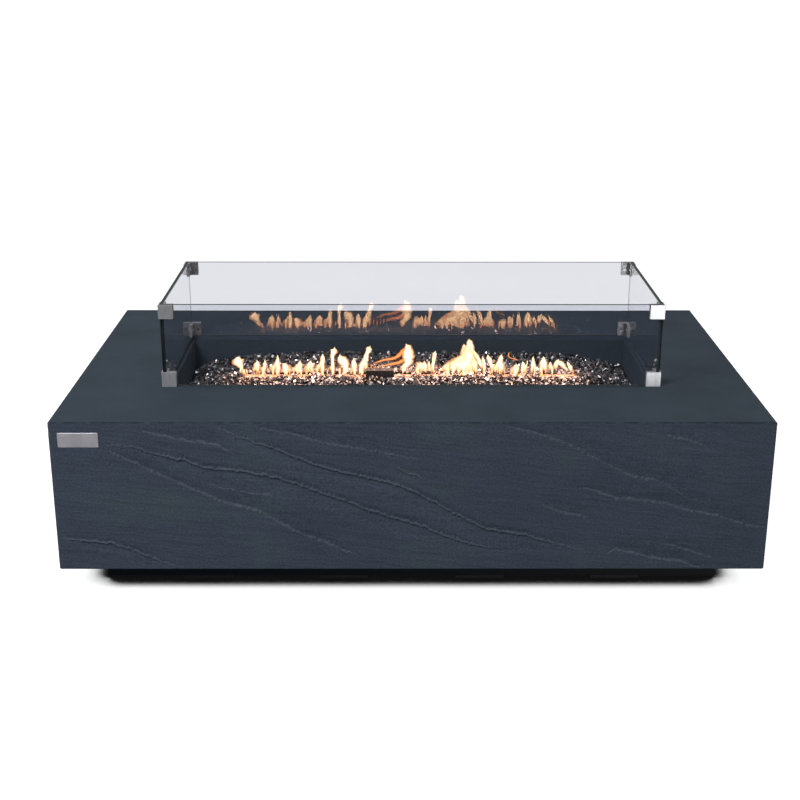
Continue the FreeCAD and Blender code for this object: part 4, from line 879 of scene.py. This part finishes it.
# %% Flame spines
# One list for each tongue, from foot to tip: place along the burner, height over it and width, in mm.
FLAMES = [
    [(-401, -1, 17), (-404, 3, 20), (-407, 8, 17), (-410, 12, 10), (-409, 16, 6), (-409, 21, 8), (-412, 25, 13),
     (-414, 30, 19), (-417, 35, 23), (-417, 39, 20), (-417, 43, 11), (-417, 44, 3)],
    [(-370, 0, 16), (-371, 7, 18), (-371, 14, 17), (-371, 21, 15), (-371, 27, 12), (-370, 31, 8), (-370, 34, 4)],
    [(-354, 0, 14), (-354, 7, 17), (-353, 14, 16), (-352, 21, 12), (-352, 27, 9), (-352, 32, 4), (-352, 37, 2)],
    [(-327, 0, 26), (-328, 7, 27), (-327, 14, 25), (-324, 21, 20), (-323, 27, 15), (-322, 32, 11), (-321, 38, 7),
     (-321, 44, 4), (-321, 48, 2)],
    [(-301, 0, 23), (-301, 7, 25), (-302, 14, 24), (-303, 20, 20), (-306, 25, 13), (-308, 27, 5)],
    [(-274, 0, 23), (-275, 7, 26), (-273, 14, 23), (-271, 20, 18), (-268, 25, 12), (-268, 30, 8), (-267, 34, 3)],
    [(-246, 0, 19), (-246, 7, 23), (-246, 14, 22), (-244, 21, 18), (-242, 27, 15), (-242, 31, 11), (-241, 35, 3)],
    [(-220, 0, 22), (-220, 7, 24), (-219, 14, 22), (-217, 21, 17), (-215, 27, 13), (-213, 34, 11), (-212, 41, 9),
     (-212, 47, 7), (-212, 51, 2)],
    [(-192, 3, 18), (-192, 9, 20), (-191, 14, 17), (-189, 19, 13), (-188, 24, 8), (-188, 30, 7), (-188, 35, 6),
     (-188, 41, 7), (-189, 47, 8), (-188, 52, 9), (-186, 57, 13), (-184, 61, 16), (-183, 64, 13), (-183, 67, 5)],
    [(-167, 0, 15), (-165, 7, 20), (-161, 14, 19), (-159, 21, 17), (-159, 27, 17), (-161, 32, 19), (-164, 37, 20),
     (-167, 41, 17), (-169, 45, 14), (-170, 49, 5)],
    [(-139, 1, 16), (-139, 8, 17), (-137, 15, 17), (-136, 23, 15), (-137, 30, 11), (-137, 35, 8), (-137, 40, 3)],
    [(-118, 4, 16), (-117, 13, 20), (-116, 18, 20), (-114, 24, 19), (-112, 30, 17), (-111, 35, 14), (-108, 41, 12),
     (-107, 47, 11), (-106, 52, 10), (-104, 58, 9), (-101, 62, 12), (-100, 66, 13), (-99, 69, 9), (-98, 71, 3)],
    [(-104, 13, 2), (-104, 17, 3), (-104, 21, 2), (-103, 25, 2)],
    [(-95, 13, 2), (-95, 17, 3), (-95, 21, 2), (-94, 25, 2)],
    [(-86, 13, 2), (-86, 17, 3), (-85, 21, 2), (-85, 25, 2)],
    [(-76, 13, 2), (-76, 17, 3), (-76, 21, 2), (-76, 25, 2)],
    [(-68, 13, 2), (-68, 17, 3), (-68, 21, 2), (-67, 25, 2)],
    [(-21, 7, 8), (-18, 13, 11), (-14, 18, 13), (-11, 24, 16), (-7, 30, 17), (-5, 35, 19), (-5, 41, 23), (-5, 47, 24),
     (-6, 52, 25), (-6, 58, 24), (-6, 64, 21), (-7, 70, 16), (-9, 74, 6)],
    [(-86, 31, 2), (-75, 35, 4), (-62, 39, 5), (-48, 41, 6), (-35, 45, 7), (-24, 54, 9), (-17, 62, 8), (-10, 68, 5)],
    [(-65, 21, 2), (-56, 25, 4), (-43, 28, 6), (-29, 31, 7), (-18, 37, 8), (-10, 44, 5)],
    [(19, 3, 18), (21, 10, 22), (25, 16, 26), (30, 21, 29), (34, 25, 26), (34, 27, 13)],
    [(46, 11, 12), (46, 20, 8), (45, 27, 5), (45, 33, 2)],
    [(53, 6, 6), (54, 16, 8), (54, 24, 8), (56, 33, 7), (57, 41, 8), (58, 48, 9), (59, 54, 8), (60, 59, 2)],
    [(65, 0, 4), (74, 10, 9), (87, 19, 15), (101, 25, 18), (114, 32, 20), (125, 40, 19), (133, 47, 11)],
    [(91, -2, 19), (103, 10, 43), (114, 18, 43), (126, 24, 46), (134, 30, 41), (137, 35, 38), (138, 41, 35),
     (138, 47, 32), (138, 53, 30), (138, 58, 27), (138, 64, 24), (139, 70, 19)],
    [(123, 0, 19), (133, 10, 27), (141, 21, 32), (148, 33, 24), (148, 41, 17)],
    [(150, 0, 19), (152, 10, 19), (152, 18, 22), (151, 27, 22), (149, 35, 22)],
    [(131, 57, 15), (130, 63, 13), (130, 67, 12), (129, 72, 8), (129, 76, 3)],
    [(142, 55, 23), (142, 61, 21), (143, 67, 19), (143, 73, 17), (143, 78, 15), (142, 84, 12), (141, 88, 6),
     (141, 90, 2)],
    [(150, 64, 4), (158, 51, 7), (164, 41, 8), (168, 31, 8), (173, 21, 6), (175, 11, 4)],
    [(174, 1, 9), (176, 11, 10), (178, 21, 9), (178, 30, 9), (176, 37, 8), (175, 42, 5), (175, 46, 2)],
    [(200, 13, 3), (196, 24, 7), (193, 33, 9), (191, 40, 9), (188, 45, 9), (187, 50, 3)],
    [(210, -1, 40), (210, 7, 39), (213, 13, 32), (215, 18, 27), (216, 24, 20), (216, 30, 14), (217, 35, 12),
     (218, 41, 10), (219, 46, 8), (220, 51, 3)],
    [(259, 38, 2), (251, 41, 2), (243, 43, 2), (237, 48, 3), (238, 55, 2)],
    [(252, 1, 23), (252, 8, 24), (254, 14, 22), (256, 20, 16), (256, 24, 8), (256, 27, 3)],
    [(274, 0, 13), (274, 13, 13), (274, 21, 12), (273, 28, 8), (272, 33, 2)],
    [(279, 7, 4), (280, 18, 4), (282, 28, 2), (283, 35, 2)],
    [(299, -2, 12), (299, 7, 14), (298, 16, 13), (298, 24, 11), (297, 33, 8), (297, 40, 6), (297, 45, 2)],
    [(323, -2, 15), (323, 10, 17), (323, 18, 18), (322, 27, 16), (322, 34, 14), (322, 40, 10), (322, 44, 3)],
    [(345, -2, 7), (344, 7, 12), (342, 16, 12), (339, 24, 9), (339, 30, 4)],
    [(348, -2, 4), (350, 10, 7), (351, 21, 9), (354, 30, 10), (357, 37, 4)],
    [(355, 35, 4), (364, 30, 10), (372, 21, 9), (379, 14, 5), (381, 9, 2)],
    [(395, 0, 4), (393, 9, 9), (389, 17, 9), (385, 24, 8), (382, 29, 5), (380, 33, 2)],
]
# The thin streams that drift sideways burn cooler.
COOL_TONGUES = {12, 13, 14, 15, 16, 18, 19, 33}
COOL = 0.1
FLAME_FOOT = TUBE_HIGH.z - 1 * MM
print("flames", len(FLAMES), "of them cool", len(COOL_TONGUES))

# %% Flame shapes
# Widths, heights and steps in mm.
SPINE_STEPS = 3
TONGUE_SIDES = 8
FLATNESS = 0.45
THINNEST = 0.15
FOOT_HEIGHT = 11
STRAND_HEIGHT = 14
PORT_PITCH = 5


def between(before, here, after, beyond, t):
    """Smooth value between the middle two of four numbers."""
    return 0.5 * (2 * here + (after - before) * t + (2 * before - 5 * here + 4 * after - beyond) * t ** 2
                  + (3 * here - before - 3 * after + beyond) * t ** 3)


def smooth_spine(spine):
    """Extra points on a curve through every point of a spine."""
    padded = [spine[0]] + spine + [spine[-1]]
    points = []
    for k in range(len(spine) - 1):
        for i in range(SPINE_STEPS):
            t = i / SPINE_STEPS
            points.append(tuple(between(*(padded[k + j][axis] for j in range(4)), t) for axis in range(3)))
    return points + [tuple(float(v) for v in spine[-1])]


def pointed(spine):
    """The spine with a narrower foot, if it is a thick one, and a sharp tip."""
    narrowed = []
    for x, z, width in spine:
        share = 0.35 + 0.65 * min(1.0, max(0.0, z) / FOOT_HEIGHT) if width > 8 else 1.0
        narrowed.append((x, z, width * share))
    (x0, z0, _), (x1, z1, width) = spine[-2:]
    length = math.hypot(x1 - x0, z1 - z0)
    reach = 1.5 + 0.6 * width
    return narrowed + [(x1 + (x1 - x0) * reach / length, z1 + (z1 - z0) * reach / length, 0.3)]


def tongue(spine, seed, scale):
    """Closed tube round a spine, flat from front to back, with a ragged width, and how far along each point is."""
    points = smooth_spine(pointed(spine))
    sections = []
    shares = []
    for k, (x, z, width) in enumerate(points):
        before = points[max(0, k - 1)]
        after = points[min(len(points) - 1, k + 1)]
        along = Vector((after[0] - before[0], 0, after[1] - before[1])).normalized()
        across = Vector((along.z, 0, -along.x))
        ragged = 1 + 0.34 * noise.noise(Vector((x * 0.16, z * 0.16, seed)))
        radius = max(THINNEST, 0.5 * width * ragged) * scale
        sway = 5 * noise.noise(Vector((seed * 3.1, z * 0.03, 2.0)))
        ring = []
        for j in range(TONGUE_SIDES):
            angle = math.tau * j / TONGUE_SIDES
            place = Vector((x, sway + FLATNESS * radius * math.sin(angle), z)) + across * radius * math.cos(angle)
            ring.append((place.x * MM, place.y * MM, FLAME_FOOT + place.z * MM))
        sections.append(ring)
        shares += [k / (len(points) - 1)] * TONGUE_SIDES
    return [place for ring in sections for place in ring], sweep(sections), shares


def feet_of(spine):
    """Thin strands from the burner ports up into a tongue's foot."""
    x, z, width = spine[0]
    if z > 8 or width < 6:
        return []
    count = max(2, round(width / PORT_PITCH))
    reach = min(STRAND_HEIGHT, spine[-1][1] * 0.5)
    starts = [x + width * ((f + 0.5) / count - 0.5) * 1.15 for f in range(count)]
    return [[(start, -4, 1.6), (start * 0.8 + x * 0.2, z + 0.4 * reach, 3.2), (start * 0.6 + x * 0.4, z + reach, 2)]
            for start in starts]


def flame_mesh(name, scale):
    """All tongues with the feet that feed them, in one mesh that knows how far along and how warm each point is."""
    tongues = []
    warmth = []
    for k, spine in enumerate(FLAMES):
        for f, line in enumerate([spine] + feet_of(spine)):
            tongues.append(tongue(line, k + 0.1 * f, scale))
            warmth += [COOL if k in COOL_TONGUES else 1.0] * len(tongues[-1][0])
    vertices, faces, shares = joined(tongues)
    made = mesh_object(name, vertices, faces, smooth=True)
    for label, values in (("along", shares), ("warmth", warmth)):
        made.data.attributes.new(label, "FLOAT", "POINT").data.foreach_set("value", values)
    return made


print("strands at the foot", sum(len(feet_of(spine)) for spine in FLAMES))

# %% Flame group
CLEAR_HEIGHT = 30 * MM


def attribute(tree, name):
    """A number that the mesh holds at each point."""
    return add_node(tree, "ShaderNodeAttribute", attribute_name=name).outputs["Fac"]


def make_flame_group():
    """Strands at the foot, a clear body, and a warmer, fainter tip."""
    group, given, result = new_group("flame", [
        ("Color", COLOR, (1.0, 0.8, 0.5, 1)),
        ("Alpha", NUMBER, 1.0),
    ], [("Color", COLOR), ("Alpha", NUMBER)])
    place = object_place(group)
    climb = remap(group, axes_of(group, place)[2], FLAME_FOOT - 1 * MM, FLAME_FOOT + CLEAR_HEIGHT)
    low = math_node(group, "SUBTRACT", 1.0, climb)
    strand = cloudy(group, stretch(group, place, (130, 0, 18)), 1.0, 3.0, Roughness=0.6)
    comb = product(group, math_node(group, "SUBTRACT", strand, 0.5), 8.0)
    combed = product(group, comb, math_node(group, "ADD", product(group, low, 0.8), 0.3))
    fading = remap(group, attribute(group, "along"), 0.65, 1.0, 0.0, 0.5)
    body = math_node(group, "ADD", product(group, climb, 1.1), combed)
    heat = math_node(group, "SUBTRACT", body, fading, clamp=True)
    glow = math_node(group, "POWER", product(group, heat, attribute(group, "warmth")), 1.5)
    low_color = stretch(group, given["Color"], (0.60, 0.25, 0.10))
    solid = math_node(group, "SUBTRACT", product(group, body, 1.35), fading)
    seen = math_node(group, "ADD", solid, 0.08, clamp=True)
    alpha = math_node(group, "MULTIPLY", given["Alpha"], seen, clamp=True)
    hand_over(group, result, Color=mix_colors(group, glow, low_color, given["Color"]), Alpha=alpha)
    return group


flame_group = make_flame_group()
print("group", flame_group.name, "nodes", len(flame_group.nodes))

# %% Flame materials
# The photo's chips and panes mirror the flames brighter than the shader does by itself.
GLOSS_GAIN = 2.6
PANE_GAIN = 5.5
GLOSS_TINT = (1.0, 0.80, 0.62)
SHELLS = [
    ("flame_core", 0.70, (1.0, 0.93, 0.66), 0.95, 3.6),
    ("flame_body", 0.95, (1.0, 0.74, 0.38), 0.5, 2.3),
    ("flame_rim", 1.22, (1.0, 0.46, 0.18), 0.3, 1.7),
]


def light_path(tree):
    """What kind of ray sees the surface, and how it came."""
    return add_node(tree, "ShaderNodeLightPath").outputs


def off_any_gloss(tree):
    """One for the rays that have left a gloss, also when a pane lies between."""
    return math_node(tree, "GREATER_THAN", light_path(tree)["Glossy Depth"], 0.5)


def rays_that_see(tree):
    """One for the rays from the camera, through glass or off a gloss, and none for the light itself."""
    rays = light_path(tree)
    direct = math_node(tree, "MAXIMUM", rays["Is Camera Ray"], rays["Is Transmission Ray"])
    return math_node(tree, "MAXIMUM", direct, rays["Is Glossy Ray"])


def flame_material(name, color, alpha, strength):
    """Glow for one shell of the flames: cream where the camera sees it, warmer off a gloss, no shadow."""
    material, tree, shader, effect = new_shader(
        name, flame_group, {"Color": (*color, 1), "Alpha": alpha},
        Base_Color=(0, 0, 0, 1), Roughness=1.0, Specular_IOR_Level=0.0)
    rays = light_path(tree)
    off_gloss = off_any_gloss(tree)
    first = math_node(tree, "LESS_THAN", rays["Glossy Depth"], 1.5)
    off_pane = product(tree, product(tree, off_gloss, rays["Is Singular Ray"]), first)
    glow = mix_colors(tree, off_gloss, effect["Color"], stretch(tree, effect["Color"], GLOSS_TINT))
    tree.links.new(glow, shader.inputs["Emission Color"])
    more = weighted(tree, (off_gloss, (GLOSS_GAIN - 1) * strength), (off_pane, (PANE_GAIN - GLOSS_GAIN) * strength))
    tree.links.new(math_node(tree, "ADD", more, strength), shader.inputs["Emission Strength"])
    tree.links.new(product(tree, effect["Alpha"], rays_that_see(tree)), shader.inputs["Alpha"])
    material.cycles.emission_sampling = "NONE"
    return material


for name, scale, color, alpha, strength in SHELLS:
    flames = flame_mesh(name, scale)
    dress(flames, flame_material(name, color, alpha, strength))
    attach(flames, "table")
    print(name, "triangles", triangles(flames))

# %% [markdown]
# ## Studio
# A pale floor that keeps the table's shadow and adds a painted contact shadow, a white surround for the camera, and
# soft light from above and in front.

# %% Floor
FLOOR_HALF = 30.0
FLOOR_GLOW = 0.95
SHARE_IN_FRONT = 0.03
SHARE_BEHIND = 0.95
SHADOW_REACH = 66 * MM


def rays_that_look(tree, gloss_share):
    """One for the rays that see the studio from the camera or through glass, and the given share once off a gloss."""
    return product(tree, rays_that_see(tree), mix_numbers(tree, off_any_gloss(tree), 1.0, gloss_share))


def studio_floor():
    """Wide pale floor under the pads, with a dark contact shadow painted from ambient occlusion, that a pane mirrors
    only from behind the table.
    """
    corners = [(sx * FLOOR_HALF, sy * FLOOR_HALF, 0) for sx, sy in ((-1, -1), (1, -1), (1, 1), (-1, 1))]
    floor = mesh_object("floor", corners, [(0, 1, 2, 3)])
    material = grained("floor_paint", (0.5, 0.5, 0.5), 0.9, 3.0, 0.01, Specular_IOR_Level=0.0)
    tree = material.node_tree
    shader = tree.nodes["Principled BSDF"]
    # Painted contact shadow: ambient occlusion darkens the floor's colour and glow near the table.
    open_sky = add_node(tree, "ShaderNodeAmbientOcclusion", {"Distance": SHADOW_REACH}).outputs["AO"]
    shade = remap(tree, open_sky, 0.62, 0.92, 0.006, interpolation_type="SMOOTHSTEP")
    paint = shader.inputs["Base Color"].links[0].from_socket
    calm = math_node(tree, "SUBTRACT", 1.0, product(tree, light_path(tree)["Is Glossy Ray"], 0.9))
    tree.links.new(brighten(tree, paint, product(tree, shade, calm)), shader.inputs["Base Color"])
    shader.inputs["Emission Color"].default_value = (1, 1, 1, 1)
    behind = remap(tree, axes_of(tree, object_place(tree))[1], 0.5, 0.8, SHARE_IN_FRONT, SHARE_BEHIND)
    glow = product(tree, rays_that_look(tree, behind), FLOOR_GLOW)
    tree.links.new(product(tree, glow, shade), shader.inputs["Emission Strength"])
    dress(floor, material)


studio_floor()
print("floor", 2 * FLOOR_HALF, "m wide")

# %% Surround and lights
SKY_GLOW = 0.34
OFF_GLOSS_SHARE = 0.9
STRIP_HEIGHT = 42 * MM
STRIP_WIDTH = 110 * MM
STRIP_POWER = 3.9


def surround():
    """White where it is looked at, softer as a light."""
    world = bpy.data.worlds.new("studio")
    bpy.context.scene.world = world
    world.use_nodes = True
    tree = world.node_tree
    tree.nodes.clear()
    shown = add_node(tree, "ShaderNodeBackground", {"Color": (1, 1, 1, 1), "Strength": 1.0})
    soft = add_node(tree, "ShaderNodeBackground", {"Color": (0.95, 0.97, 1.0, 1), "Strength": SKY_GLOW})
    looking = rays_that_look(tree, OFF_GLOSS_SHARE)
    mixed = add_node(tree, "ShaderNodeMixShader", {0: looking, 1: soft.outputs[0], 2: shown.outputs[0]})
    add_node(tree, "ShaderNodeOutputWorld", {"Surface": mixed.outputs[0]})


def soft_light(name, place, target, size, power):
    """Square area light that looks at a point."""
    lamp = bpy.data.lights.new(name, "AREA")
    lamp.shape = "SQUARE"
    lamp.size = size
    lamp.energy = power
    made = link(bpy.data.objects.new(name, lamp))
    made.location = place
    made.rotation_euler = (Vector(target) - Vector(place)).to_track_quat("-Z", "Y").to_euler()
    return made


def fire_glow():
    """Warm strip over the burner that lights the chips under the flames."""
    strip = soft_light("fire_glow", (0, 0, FLAME_FOOT + STRIP_HEIGHT), (0, 0, 0), TUBE_HIGH.x * 2, STRIP_POWER)
    strip.data.shape = "RECTANGLE"
    strip.data.size_y = STRIP_WIDTH
    strip.data.color = (1.0, 0.60, 0.42)
    strip.data.spread = math.radians(150)
    strip.visible_camera = False


surround()
soft_light("key", (-2.2, -3.0, 4.0), (0, 0, 0.35), 2.1, 172)
sheen = soft_light("sheen", (1.6, -2.6, 0.55), (0.55, -0.2, 0.45), 0.9, 70)
sheen.visible_diffuse = False
fire_glow()

# %% [markdown]
# ## Camera
# Solved from the eight corners of the body that the photo shows.

# %% Camera
CAMERA_PLACE = Vector((-0.0371, -3.1297, 1.3817))
PITCH_DOWN = 0.3326
YAW = -0.0034
ROLL = -0.0013
FOCAL_PIXELS = 1354.2
PICTURE = 800
SENSOR = 36.0

camera_data = bpy.data.cameras.new("photo_camera")
camera_data.sensor_width = SENSOR
camera_data.lens = SENSOR * FOCAL_PIXELS / PICTURE
camera = link(bpy.data.objects.new("photo_camera", camera_data))
camera.location = CAMERA_PLACE
camera.rotation_euler = (math.pi / 2 - PITCH_DOWN, ROLL, YAW)
scene = bpy.context.scene
scene.camera = camera
scene.view_settings.view_transform = "Standard"
print("lens", round(camera_data.lens, 2))
